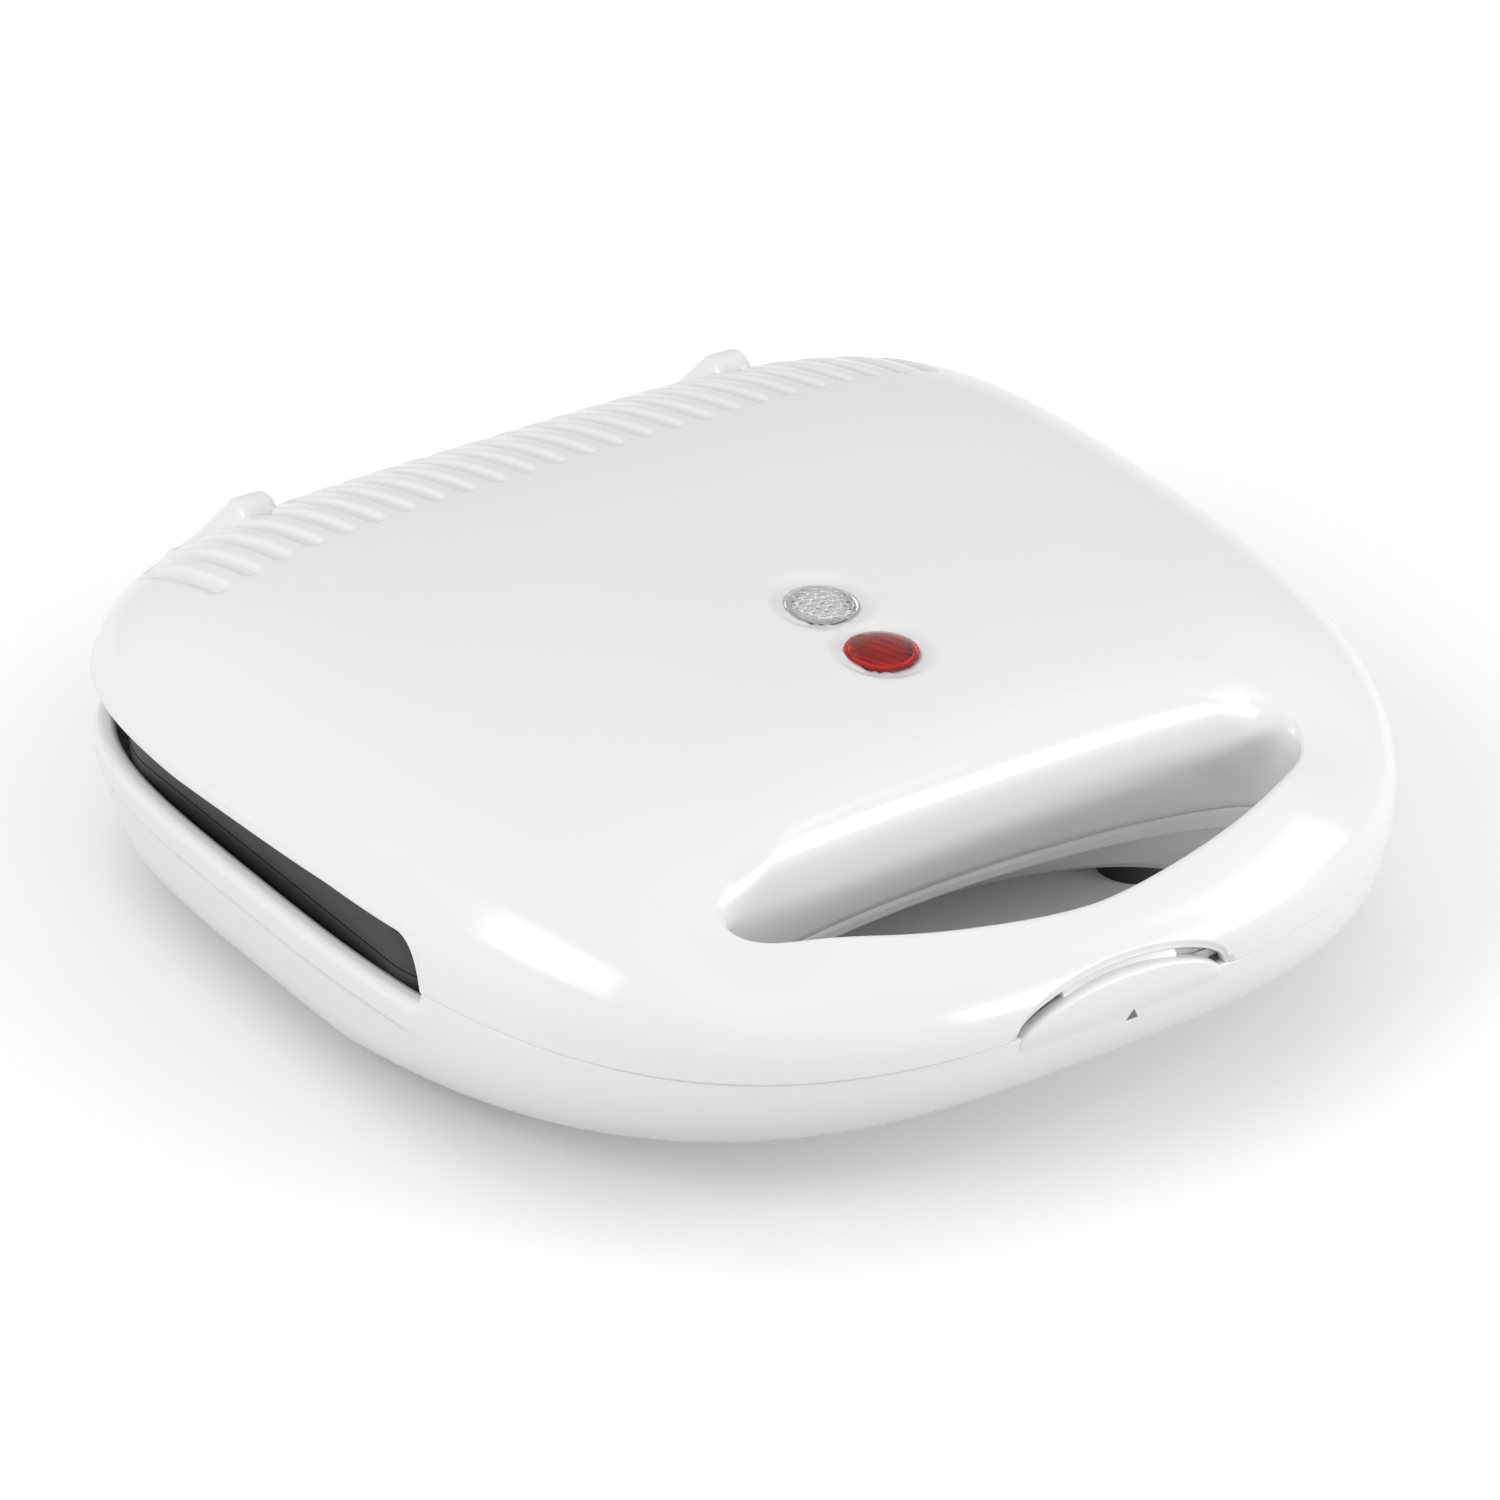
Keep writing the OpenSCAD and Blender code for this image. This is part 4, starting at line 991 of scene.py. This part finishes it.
    def relief(self, skin: Array) -> Array:
        """Sinks flutes, lamp recess and latch band, and raises the gap's border.

        Args:
            skin: columns by rows by 3.

        Returns:
            How far each point moves inwards along Z, and how far along the outline's normal.
        """
        cols = self.columns
        form = cols.form
        x, y, z = skin[..., 0], skin[..., 1], skin[..., 2]
        offset = (x + cols.pitch / 2) % cols.pitch - cols.pitch / 2
        ahead = np.minimum(y - (self.flute_start + 2.2), 0)
        apart = np.hypot(offset, ahead)
        on = (np.abs(x) < (cols.flutes + 0.5) * cols.pitch) & (y > self.flute_start - 4)
        end = ease((self.flute_end + 0.02 - form.share(x, y)) / 0.035)
        flute = self.flute_depth * ease((2.25 - apart) / 0.95) * end * on
        far = np.minimum(*(np.hypot(x, y - lamp) for lamp in self.lamps))
        sunk = self.recess_depth * ease((self.recess + 0.9 - far) / 1.8)
        wells = self.well_depth * ease(self.well + 0.5 - far)
        top = z > form.parting + form.rise * 0.6
        down = flute + (sunk + np.minimum(wells, 1.3)) * top
        edge = self.edge_z()[:, None]
        above = z - edge
        front = np.abs(x) < self.arch_half + 1.2
        band_on = front * (y < form.front_y + self.front_zone)
        inward = self.arch_sink * ease((self.arch_band - above) / self.arch_band) * band_on
        gap_on = ease((edge - (form.parting + 1.5)) / 3) * (y > -60)
        inward = inward - self.border_rise * gap_on * ease((self.border - above) / 0.8)
        return np.stack([down, inward], axis=-1)

    def make(self, name: str) -> bpy.types.Object:
        """Builds the closed shell.

        Args:
            name: the piece's name.

        Returns:
            The lid's mesh.
        """
        cols = self.columns
        form = cols.form
        skin = self.outside()
        moved = self.relief(skin)
        normal = self._normal(skin[:, -1])
        skin[..., 2] -= moved[..., 0]
        skin[..., :2] -= normal[:, None, :2] * moved[..., 1:2]
        edge = self.edge_z()
        last = skin[:, -1]
        lip = self._lip(last, normal, edge)
        low = form.parting + self.edge_gap
        inner_wall, inner_rim = self._rim(low, self.wall)
        plan = self._plan(inner_rim[:, :2], self.wall, edge, 300)
        z = form.dome(plan[..., 0], plan[..., 1], self.wall)
        inner = np.concatenate([plan, z[..., None]], axis=-1)
        inner[:, -1, 2] = edge + 0.5
        inner_rows = walk(inner, 22)[:, ::-1]
        wall_rows = walk(inner_wall, 6)[:, ::-1][:, 1:]
        foot = self._foot(wall_rows[:, -1], skin[:, 0], low)
        half = np.concatenate([skin, lip, inner_rows, wall_rows, foot], axis=1)
        return shell(name, half)

    def _normal(self, points: Array) -> Array:
        """Outward direction in plan, from the slope of the share function."""
        form = self.columns.form
        h = 0.05
        x, y = points[:, 0], points[:, 1]
        gx = form.share(x + h, y) - form.share(x - h, y)
        gy = form.share(x, y + h) - form.share(x, y - h)
        size = np.hypot(gx, gy) + 1e-12
        return np.stack([gx / size, gy / size, 0 * gx], axis=1)

    def _lip(self, last: Array, normal: Array, edge: Array) -> Array:
        """A rounded lower edge between the outer and the inner skin."""
        insets = np.array([0.08, 0.3, 0.75, 1.5, 2.1])
        drop = np.array([-0.25, -0.5, -0.62, -0.62, -0.4])
        points = last[:, None] - normal[:, None] * insets[None, :, None]
        points[..., 2] = last[:, 2:3] + drop[None]
        return points

    def _foot(self, inner: Array, outer: Array, low: float) -> Array:
        """A rounded foot under the opening's wall, from its inner to its outer face."""
        t = np.array([0.2, 0.5, 0.8])[None, :, None]
        points = inner[:, None] * (1 - t) + outer[:, None] * t
        points[..., 2] = low - np.array([0.25, 0.35, 0.25])[None]
        return points


# ---------------------------------------------------------------- the base's shell


@dataclass
class BaseShell:
    """The base: beaded rim, tucked side, rising underside and the opening's wall."""

    columns: Columns
    wall: float = 2.5
    edge_gap: float = 0.25
    step: float = 0.6
    rim_z: float = 33.6
    rim_front: float = -44.0
    rim_run: float = 3.0
    bead: float = 2.6
    front_edge: float = 0.5
    crease_z: float = 26.0
    crease: float = 0.9
    crease_fade: tuple[float, float] = (-46.0, -30.0)

    def rim(self) -> Array:
        """Height of the rim on each column: it steps up where the side gap ends."""
        form = self.columns.form
        y = self.columns.outer[:, 1]
        up = form.parting - self.edge_gap
        run = np.clip((y - self.rim_front) / self.rim_run, 0, 1)
        drop = np.sqrt(1 - (1 - run) ** 2)
        return up + (self.rim_z - up) * drop

    def _ring(self, inset: Array, z: Array) -> Array:
        """Points on the side at some insets and heights.

        Args:
            inset: columns by rows.
            z: columns by rows.

        Returns:
            Columns by rows by 3.
        """
        form = self.columns.form
        full = self.columns.outer - np.array([0.0, form.middle])
        half_len = np.where(full[:, 1] >= 0, form.back_len, form.front_len)[:, None]
        x = full[:, 0:1] * (form.width / 2 - inset) / (form.width / 2)
        y = form.middle + full[:, 1:2] * (half_len - inset) / half_len
        return np.stack([x, y, z + 0 * x], axis=-1)

    def side(self) -> Array:
        """The outer side from the rim down to the underside.

        Returns:
            Columns by rows by 3.
        """
        form = self.columns.form
        y = self.columns.outer[:, 1:2]
        rim = self.rim()[:, None]
        floor = form.floor(y)
        t = np.linspace(0, 1, 160)[None]
        down = 1 - (1 - t) ** 1.6
        z = rim + (floor - rim) * down
        low = ease((form.parting - rim) / (form.parting - self.rim_z))
        inset = self.step + form.tub(z, y)
        roll = rounded(rim - z, self.bead) * low + rounded(rim - z, self.front_edge) * (1 - low)
        start, end = self.crease_fade
        fade = ease((y - start) / (end - start))
        crease = self.crease * fade * ease((self.crease_z + 0.9 - z) / 1.6)
        crease = crease * ease((z - floor - 2) / 12)
        return self._ring(inset + roll + crease, z)

    def make(self, name: str) -> bpy.types.Object:
        """Builds the closed shell.

        Args:
            name: the piece's name.

        Returns:
            The base's mesh.
        """
        form = self.columns.form
        rim = self.rim()[:, None]
        side = walk(self.side(), 60)
        under, foot_ring = self._under(side[:, -1])
        wall = self._wall(foot_ring, form.parting - self.edge_gap, 0.0)
        inner_foot = self._meet(self.wall, self.wall)
        inner_wall = self._wall(inner_foot, form.parting - self.edge_gap, self.wall)
        top = np.linspace(0, 1, 5)[None, 1:-1, None]
        lip = wall[:, -1:] * (1 - top) + inner_wall[:, -1:] * top
        lip[..., 2] += np.array([0.12, 0.18, 0.12])[None]
        floor_rows, inner_side = self._inside(inner_foot, rim)
        half = np.concatenate(
            [side, under, wall, lip, inner_wall[:, ::-1], floor_rows, inner_side], axis=1
        )
        return shell(name, half)

    def _meet(self, grow: float, lift: float) -> Array:
        """Height at which the opening's wall, grown, meets the underside, lifted."""
        cols = self.columns
        z = np.linspace(cols.form.foot - 1, cols.grip.foot_z, 800)[None] + 0 * cols.turn[:, None]
        above = z - (cols.form.floor(cols.wall(z, grow)[..., 1]) + lift)
        return z[0][(above > 0).argmax(axis=1)]

    def _wall(self, low: Array, high: float, grow: float) -> Array:
        """The opening's wall between two heights, closer at its lower crease."""
        crease = self.columns.grip.foot_z
        z = low[:, None] + (high - low[:, None]) * np.linspace(0, 1, 200)[None]
        weight = 0.5 + 1.2 * bump(z, crease - 1, crease + 1, 1.0)
        return walk(self.columns.wall(z, grow), 20, weight)

    def _under(self, start: Array) -> tuple[Array, Array]:
        """The underside from the side's foot to the opening.

        Returns:
            Its rows, and the height at which the opening's wall starts on each column.
        """
        cols = self.columns
        meet = self._meet(0.0, 0.0)
        end = cols.wall(meet[:, None], 0.0)[:, 0]
        t = np.linspace(0, 1, 22)[None, 1:-1, None]
        rows = start[:, None] * (1 - t) + end[:, None] * t
        rows[..., 2] = cols.form.floor(rows[..., 1])
        return rows, meet

    def _inside(self, foot: Array, rim: Array) -> tuple[Array, Array]:
        """The inner floor and the inner side up to the rim's top.

        Args:
            foot: where the opening's inner wall meets the floor.
            rim: height of the rim.

        Returns:
            Floor rows and side rows.
        """
        cols = self.columns
        form = cols.form
        y = cols.outer[:, 1:2]
        floor = form.floor(y) + self.wall
        low = ease((form.parting - rim) / (form.parting - self.rim_z))
        t = np.linspace(0, 1, 120)[None]
        z = floor + (rim - floor) * (1 - (1 - t) ** 0.7)
        roll = rounded(rim - z, self.bead) * low
        inset = self.step + self.wall + form.tub(z - self.wall * (1 - t), y) + low * 1.6 - roll * 0.25
        side = walk(self._ring(inset, z), 24)
        start = cols.wall(foot[:, None], self.wall)[:, 0]
        u = np.linspace(0, 1, 14)[None, 1:-1, None]
        rows = start[:, None] * (1 - u) + side[:, :1] * u
        rows[..., 2] = form.floor(rows[..., 1]) + self.wall
        return rows, side


# ---------------------------------------------------------------- hinges, latch and lenses


@dataclass(frozen=True)
class Hinges:
    """Two arms on the lid between four ears on the base, in millimetres."""

    form: Form
    at_x: float = 60.0
    pin_back: float = 7.0
    pin_z: float = 32.0
    knuckle: float = 6.5
    arm: float = 12.0
    gap: float = 0.4
    ear: float = 5.0
    hump: tuple[float, float, float] = (92.2, 60.6, 4.6)
    bend: tuple[float, float, float] = (-1.25, 48.0, 4.0)
    drop: tuple[float, float, float] = (5.65, 40.0, 5.0)
    web_half: float = 4.6
    web_edge: float = 2.2
    eye_edge: float = 1.5
    ear_edge: float = 0.9
    ear_foot: float = 17.2
    ear_top: float = 31.5
    corner: float = 1.2

    @property
    def back(self) -> float:
        """Y of the housing's rear edge."""
        return self.form.middle + self.form.back_len

    def arms(self, name: str) -> bpy.types.Object:
        """The lid's two arms: a round hump, a web round the lid's rear edge and the pin's eye."""
        bend, drop = ((self.back + y, z, radius) for y, z, radius in (self.bend, self.drop))
        eye = (self.back + self.pin_back, self.pin_z, self.knuckle)
        runs = (
            ([self.hump, bend], self.web_half, self.web_edge),
            ([bend, drop], self.web_half, self.web_edge),
            ([drop, eye], self.arm / 2, self.eye_edge),
        )
        webs = []
        for x in (-self.at_x, self.at_x):
            for pair, half, edge in runs:
                webs.append(slab(f"{name}_{len(webs)}", pair, x - half, x + half, edge))
        return joined(name, webs)

    def ears(self, name: str) -> bpy.types.Object:
        """The base's four ears, two beside each arm."""
        back, eye_y, corner = self.back, self.back + self.pin_back, self.corner
        outline = [
            (eye_y, self.pin_z, self.knuckle),
            (eye_y + self.knuckle - corner, self.pin_z - 6, corner),
            (back - 1.6, self.ear_foot, corner),
            (back - 6.0, self.ear_foot, corner),
            (back - 4.0, self.ear_top, 1.0),
        ]
        near = self.arm / 2 + self.gap
        plates = []
        for x in (-self.at_x, self.at_x):
            for way in (-1, 1):
                ends = sorted((x + way * near, x + way * (near + self.ear)))
                plates.append(slab(f"{name}_{len(plates)}", outline, *ends, self.ear_edge))
        return joined(name, plates)


@dataclass(frozen=True)
class Latch:
    """The oval latch: its face follows the front wall; a flange, a barrel and a hook behind."""

    form: Form
    half_w: float = 25.5
    half_h: float = 9.4
    mid_z: float = 34.4
    thick: float = 3.0
    flange_half: float = 26.4
    flange_h: float = 11.1
    flange_low: float = 40.4
    flange_back: float = 3.5
    flange_thick: float = 0.9
    pin: tuple[float, float] = (6.1, 44.6)
    barrel_half: float = 14.0
    hook_half: float = 8.0
    base_step: float = 0.6
    mark: tuple[float, float, float, float] = (2.7, 32.65, 3.0, 2.5)

    def wall(self, x: Array, z: Array) -> Array:
        """Y of the front wall at a height: the crown above the parting line, the tub below."""
        form = self.form
        front = np.full_like(x, form.front_y)
        above = form.edge_share(np.maximum(z, form.parting), front)
        tuck = form.tub(z, front) + self.base_step * ease((form.parting - z) / 4)
        share = np.where(z > form.parting, above, 1 - tuck / form.front_len)
        across = np.abs(x) / (form.width / 2 * share)
        return form.middle - form.front_len * share * (1 - across**3) ** (1 / 3)

    def _face(self) -> bpy.types.Object:
        """The oval plate with softly rounded edges: rings of (share of the oval, depth)."""
        turn = np.linspace(0, 2 * np.pi, 144, endpoint=False)
        rear = [(0.35, 0.0), (0.75, 0.0), (0.95, 0.0), (0.985, 0.15), (1.0, 0.6)]
        edge = [(1.0, 1.2), (0.998, 0.7), (0.988, 0.3), (0.97, 0.08)]
        front = [(share, 0.0) for share in (0.94, 0.85, 0.7, 0.5, 0.3, 0.12)]
        rings = []
        for share, depth in [(share, self.thick - up) for share, up in rear] + edge + front:
            x = self.half_w * share * np.cos(turn)
            z = self.mid_z + self.half_h * share * np.sin(turn)
            rings.append(np.stack([x, self.wall(x, z) + depth, z], axis=-1))
        return capped("latch_plate", np.array(rings))

    def _flange(self) -> bpy.types.Object:
        """A lip behind the lid's edge that closes the gap over the oval."""
        reach = self.flange_half * math.sqrt(1 - ((self.flange_low - self.mid_z) / self.flange_h) ** 2)
        x = np.linspace(-reach, reach, 61)
        over = self.mid_z + self.flange_h * np.sqrt(1 - (x / self.flange_half) ** 2)
        under = np.full(59, self.flange_low)
        line_x = np.concatenate([x, x[1:-1][::-1]])
        line_z = np.concatenate([over, under])
        rings = [
            np.stack([line_x, self.wall(line_x, line_z) + depth, line_z], axis=-1)
            for depth in self.flange_back + self.flange_thick * np.linspace(0, 1, 4)
        ]
        return capped("latch_flange", np.array(rings))

    def make(self, name: str) -> bpy.types.Object:
        """Builds the latch.

        Args:
            name: the piece's name.

        Returns:
            Its mesh, the oval plate with all that stands behind it.
        """
        pin_y, pin_z = self.form.front_y + self.pin[0], self.pin[1]
        low = self.form.front_y + self.thick
        barrel = [(pin_y, pin_z, 2.1), (low, 42.4, 0.8)]
        hook = [(low, 31.3, 0.8), (low + 1.5, 33.4, 0.7), (low, 34.0, 0.5)]
        parts = [
            self._face(),
            self._flange(),
            slab("barrel", barrel, -self.barrel_half, self.barrel_half, 0.3),
            slab("hook", hook, -self.hook_half, self.hook_half, 0.2),
        ]
        return joined(name, parts)

    def triangle(self, name: str) -> bpy.types.Object:
        """The plain printed triangle, a film on the oval's face."""
        x, z, wide, high = self.mark
        corners = np.array([[x - wide / 2, z], [x + wide / 2, z], [x, z + high]])
        sides = zip(corners, np.roll(corners, -1, 0))
        film = np.concatenate([np.linspace(a, b, 12, endpoint=False) for a, b in sides])
        middle = film.mean(axis=0)
        rings = []
        for share, depth in ((0.5, 0.02), (0.97, 0.02), (1.0, 0.0), (0.98, -0.03), (0.5, -0.03)):
            flat = middle + (film - middle) * share
            y = self.wall(flat[:, 0], flat[:, 1]) + depth
            rings.append(np.stack([flat[:, 0], y, flat[:, 1]], axis=-1))
        return capped(name, np.array(rings))


class Facets(Enum):
    """What is moulded into a lens's underside."""

    RIBS = "ribs"
    PRISMS = "prisms"


@dataclass(frozen=True)
class Lens:
    """A shallow dome on a short stem, with ribs or prisms on its underside."""

    form: Form
    y: float
    facets: Facets
    radius: float = 7.5
    dome: float = 2.4
    recess: float = 0.9
    stem: float = 6.0
    pitch: float = 1.7
    relief: float = 0.26
    slant: tuple[float, float] = (0.9, 0.43)

    @property
    def seat(self) -> float:
        """Height of the recess that the dome rests in."""
        return float(self.form.dome(np.array(0.0), np.array(self.y))) - self.recess

    def make(self, name: str) -> bpy.types.Object:
        """Builds the lens.

        The dome is a cap of a sphere. The underside is |sin| along a slanted line for ribs, and
        the product of two that cross for prisms.

        Args:
            name: the piece's name.

        Returns:
            The closed lens.
        """
        turn = np.linspace(0, 2 * np.pi, 96, endpoint=False)
        ball = (self.radius**2 + self.dome**2) / (2 * self.dome)
        a, b = self.slant
        rings = []
        for r in np.linspace(0.15, self.stem - 0.1, 40):
            x, y = r * np.cos(turn), r * np.sin(turn)
            wave = np.abs(np.sin(np.pi * (x * a + y * b) / self.pitch))
            if self.facets is Facets.PRISMS:
                wave = wave * np.abs(np.sin(np.pi * (y * a - x * b) / self.pitch))
            rings.append(np.stack([x, y, -0.75 + self.relief * wave], axis=-1))
        for r, z in ((self.stem, -0.6), (self.stem, 0.02), (self.radius - 0.3, 0.03), (self.radius, 0.2)):
            rings.append(np.stack([r * np.cos(turn), r * np.sin(turn), 0 * turn + z], axis=-1))
        for r in np.linspace(self.radius - 0.02, 0.1, 30):
            z = self.dome - ball + math.sqrt(ball**2 - r**2) + 0.2 * (r / self.radius) ** 6
            rings.append(np.stack([r * np.cos(turn), r * np.sin(turn), 0 * turn + z], axis=-1))
        return capped(name, np.array(rings) + np.array([0.0, self.y, self.seat]))

    def socket(self, name: str) -> bpy.types.Object:
        """The cup under the lens, dressed in painted shade or a painted red glow."""
        profile = [(2.0, -1.25), (5.6, -1.25), (5.9, -1.1), (5.9, -0.95), (2.0, -1.0)]
        return turned(name, profile, Vector((0, self.y, self.seat)), Vector((0, 0, 1)))


# ---------------------------------------------------------------- stage, lights and camera


@dataclass(frozen=True)
class Studio:
    """A pale floor, soft lamps and the camera at the photograph's angle.

    Angles are in degrees, target, distance and shifts in millimetres, and focal and frame in
    the photograph's pixels.
    """

    azimuth: float = -38.542
    pitch: float = 30.655
    roll: float = 3.512
    distance: float = 1489.7
    shift_x: float = -13.47
    shift_y: float = -0.91
    focal: float = 7514.8
    frame: float = 1500.0
    target: tuple[float, float, float] = (0.0, -20.9, 45.0)
    floor_pale: str = "#FDFDFD"
    floor_dull: str = "#BCBCBD"
    floor_glow: float = 0.1
    glow_starts: float = 0.1
    glow_full: float = 0.18
    world_light: float = 0.72
    aim: tuple[float, float, float] = (0.0, 0.0, 0.05)
    film: float = 36.0

    def camera(self) -> None:
        """Places the camera: back along its axis from the target, then rolled about it."""
        a, p, r = (math.radians(v) for v in (self.azimuth, self.pitch, self.roll))
        back = Vector((math.sin(a) * math.cos(p), -math.cos(a) * math.cos(p), math.sin(p)))
        side = Vector((math.cos(a), math.sin(a), 0.0))
        up = back.cross(side)
        right = side * math.cos(r) + up * math.sin(r)
        above = up * math.cos(r) - side * math.sin(r)
        place = Vector(self.target) + back * self.distance + right * self.shift_x + above * self.shift_y
        data = bpy.data.cameras.new("camera")
        data.sensor_width = self.film
        data.lens = self.film * self.focal / self.frame
        data.clip_start, data.clip_end = 0.05, 60.0
        camera = bpy.data.objects.new("camera", data)
        turn = Matrix((right, above, back)).transposed().to_4x4()
        camera.matrix_world = Matrix.Translation(place * MM) @ turn
        bpy.context.scene.collection.objects.link(camera)
        bpy.context.scene.camera = camera

    def floor(self) -> None:
        """A wide floor that keeps the shadow: pale where it is seen, duller to the light it throws back.

        Away from the object it glows a little, so that it fades to white.
        """
        reach = 6000.0
        xs, ys = np.meshgrid([-reach, reach], [-reach, reach])
        points = np.stack([xs, ys, 0 * xs], axis=-1)
        floor = build("floor", points, np.array([[0, 1, 3, 2]]))
        material, tree = started("pale_floor")
        shader = tree.nodes["Principled BSDF"]
        shader.inputs["Roughness"].default_value = 0.9
        shader.inputs["Specular IOR Level"].default_value = 0.1
        seen = self._seen(tree, "Is Camera Ray", "Is Glossy Ray", "Is Transmission Ray")
        tones = {0: seen, 6: linear(self.floor_dull), 7: linear(self.floor_pale)}
        paint = add(tree, "ShaderNodeMix", tones, data_type="RGBA")
        tree.links.new(paint.outputs[2], shader.inputs["Base Color"])
        place = add(tree, "ShaderNodeTexCoord")
        away = add(tree, "ShaderNodeVectorMath", {0: place.outputs["Object"]}, operation="LENGTH")
        lift = add(
            tree,
            "ShaderNodeMapRange",
            {
                "Value": away.outputs["Value"],
                "From Min": self.glow_starts,
                "From Max": self.glow_full,
                "To Max": self.floor_glow,
            },
        )
        glow = add(tree, "ShaderNodeMath", {0: seen, 1: lift.outputs["Result"]}, operation="MULTIPLY")
        shader.inputs["Emission Color"].default_value = (1.0, 1.0, 1.0, 1.0)
        tree.links.new(glow.outputs[0], shader.inputs["Emission Strength"])
        floor.data.materials.append(material)

    def _seen(self, tree: bpy.types.NodeTree, *rays: str) -> bpy.types.NodeSocket:
        """Is 1 for the named kinds of ray and 0 for all others.

        Args:
            tree: the node tree.
            rays: outputs of the light path.

        Returns:
            The socket that says so.
        """
        light = add(tree, "ShaderNodeLightPath")
        seen = light.outputs[rays[0]]
        for ray in rays[1:]:
            both = add(tree, "ShaderNodeMath", {0: seen, 1: light.outputs[ray]}, operation="MAXIMUM")
            seen = both.outputs[0]
        return seen

    def world(self) -> None:
        """A soft surrounding light, white where the camera or a lens sees it."""
        world = bpy.data.worlds.new("studio")
        bpy.context.scene.world = world
        world.use_nodes = True
        tree = world.node_tree
        back = tree.nodes["Background"]
        seen = self._seen(tree, "Is Camera Ray", "Is Transmission Ray")
        strength = add(tree, "ShaderNodeMapRange", {"Value": seen, "To Min": self.world_light})
        back.inputs["Color"].default_value = (1.0, 1.0, 1.0, 1.0)
        tree.links.new(strength.outputs["Result"], back.inputs["Strength"])

    def lamp(self, name: str, place: tuple, size: tuple, power: float) -> None:
        """Adds one soft box that faces the object.

        Args:
            name: its name.
            place: where it stands, in metres.
            size: width and height, in metres.
            power: its power in watts.
        """
        data = bpy.data.lights.new(name, "AREA")
        data.shape = "RECTANGLE"
        data.size, data.size_y = size
        data.energy = power
        lamp = bpy.data.objects.new(name, data)
        lamp.location = place
        way = Vector(place) - Vector(self.aim)
        lamp.rotation_euler = way.to_track_quat("Z", "Y").to_euler()
        bpy.context.scene.collection.objects.link(lamp)

    def lamps(self) -> None:
        """Soft boxes on the left, low at the right front and on the right."""
        self.lamp("left_box", (-1.4, -0.1, 0.8), (1.0, 1.0), 10.5)
        self.lamp("low_front_box", (1.0, -1.4, 0.35), (1.0, 0.5), 8.0)
        self.lamp("right_box", (1.3, -0.9, 0.6), (0.8, 0.8), 5.0)

    def set_up(self) -> None:
        """Builds the whole stage."""
        scene = bpy.context.scene
        scene.view_settings.view_transform = "Standard"
        self.camera()
        self.floor()
        self.world()
        self.lamps()


MADE_OF: dict[Moulded | ClearStock, tuple[str, ...]] = {
    WHITE_ABS: ("base_shell", "lid_shell", "latch_button"),
    PLAIN_ABS: ("base_handle_cover", "lid_handle_cover", "cord_bushing", "cord_clamp"),
    NONSTICK: ("lower_plate", "upper_plate"),
    SHEATH: ("lower_element", "upper_element"),
    SHEET: ("lower_reflector", "upper_reflector"),
    PHENOLIC: ("thermostat",),
    SLEEVE: ("thermal_fuse",),
    POLYAMIDE: ("terminal_block", "lamp_holder"),
    SILICONE: ("base_wiring", "lid_wiring"),
    RUBBER: ("rubber_feet",),
    CLEAR_LENS: ("clear_lens",),
    RED_LENS: ("red_lens",),
    # The lamps' glass carries a painted warm glow.
    GLOW_TINTED_LAMP_GLASS: ("power_lamp", "ready_lamp"),
    SPRING: ("latch_spring",),
}


class Shown:
    """Takes the finished pieces into the frame."""

    def __init__(self, finishes: Finishes) -> None:
        """Keeps the finishes that the pieces are dressed in."""
        self._finishes = finishes

    def add(
        self, piece: bpy.types.Object, body: str, slot_name: str, stock: Moulded | ClearStock, node: str
    ) -> None:
        """Dresses a piece, lets it ride on its body and hides the CAD node that it stands for.

        Args:
            piece: the object.
            body: the CAD body that it moves with.
            slot_name: the record's material slot; not used.
            stock: its finish.
            node: the CAD node that it stands for.
        """
        self._finishes.dress(piece, stock)
        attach(piece, body)
        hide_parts(node)
        LOG.info("%s rides on %s", piece.name, body)


def main() -> None:
    """Builds the stage and every piece, and reports each through the log."""
    logging.basicConfig(level=logging.INFO, format="%(name)s: %(message)s")
    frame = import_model()
    Studio().set_up()
    finishes = Finishes()
    stock_of = {name: stock for stock, names in MADE_OF.items() for name in names}
    for name, node in frame["nodes"].items():
        finishes.dress(node, stock_of.get(name, ZINC))
    low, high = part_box("lid_shell")
    form = Form(width=(high.x - low.x) / MM, front_y=low.y / MM)
    columns = Columns(form, Grip(form))
    show = Shown(finishes)
    lid, base = LidShell(columns), BaseShell(columns)
    show.add(lid.make("lid_skin"), "lid", "white_shell", WHITE_ABS, "lid_shell")
    show.add(base.make("base_skin"), "base", "white_shell", WHITE_ABS, "base_shell")
    hinges, latch = Hinges(form), Latch(form)
    show.add(hinges.arms("lid_arms"), "lid", "white_shell", WHITE_ABS, "lid_shell")
    show.add(hinges.ears("base_ears"), "base", "white_shell", WHITE_ABS, "base_shell")
    show.add(latch.make("latch_skin"), "latch", "latch_plastic", WHITE_ABS, "latch_button")
    show.add(latch.triangle("latch_triangle"), "latch", "latch_plastic", INK, "latch_button")
    clear, red = Lens(form, lid.lamps[0], Facets.PRISMS), Lens(form, lid.lamps[1], Facets.RIBS)
    show.add(clear.make("clear_lens_skin"), "lid", "clear_plastic", CLEAR_LENS, "clear_lens")
    show.add(red.make("red_lens_skin"), "lid", "red_plastic", RED_LENS, "red_lens")
    # The cups' finishes are painted light: painted shade under the clear lens, a painted red glow under
    # the red one.
    show.add(clear.socket("clear_lens_cup"), "lid", "hidden_plastic", SHADE_PAINTED_CUP, "clear_lens")
    show.add(red.socket("red_lens_cup"), "lid", "hidden_plastic", RED_GLOW_PAINTED_CUP, "red_lens")


if __name__ == "__main__":
    main()
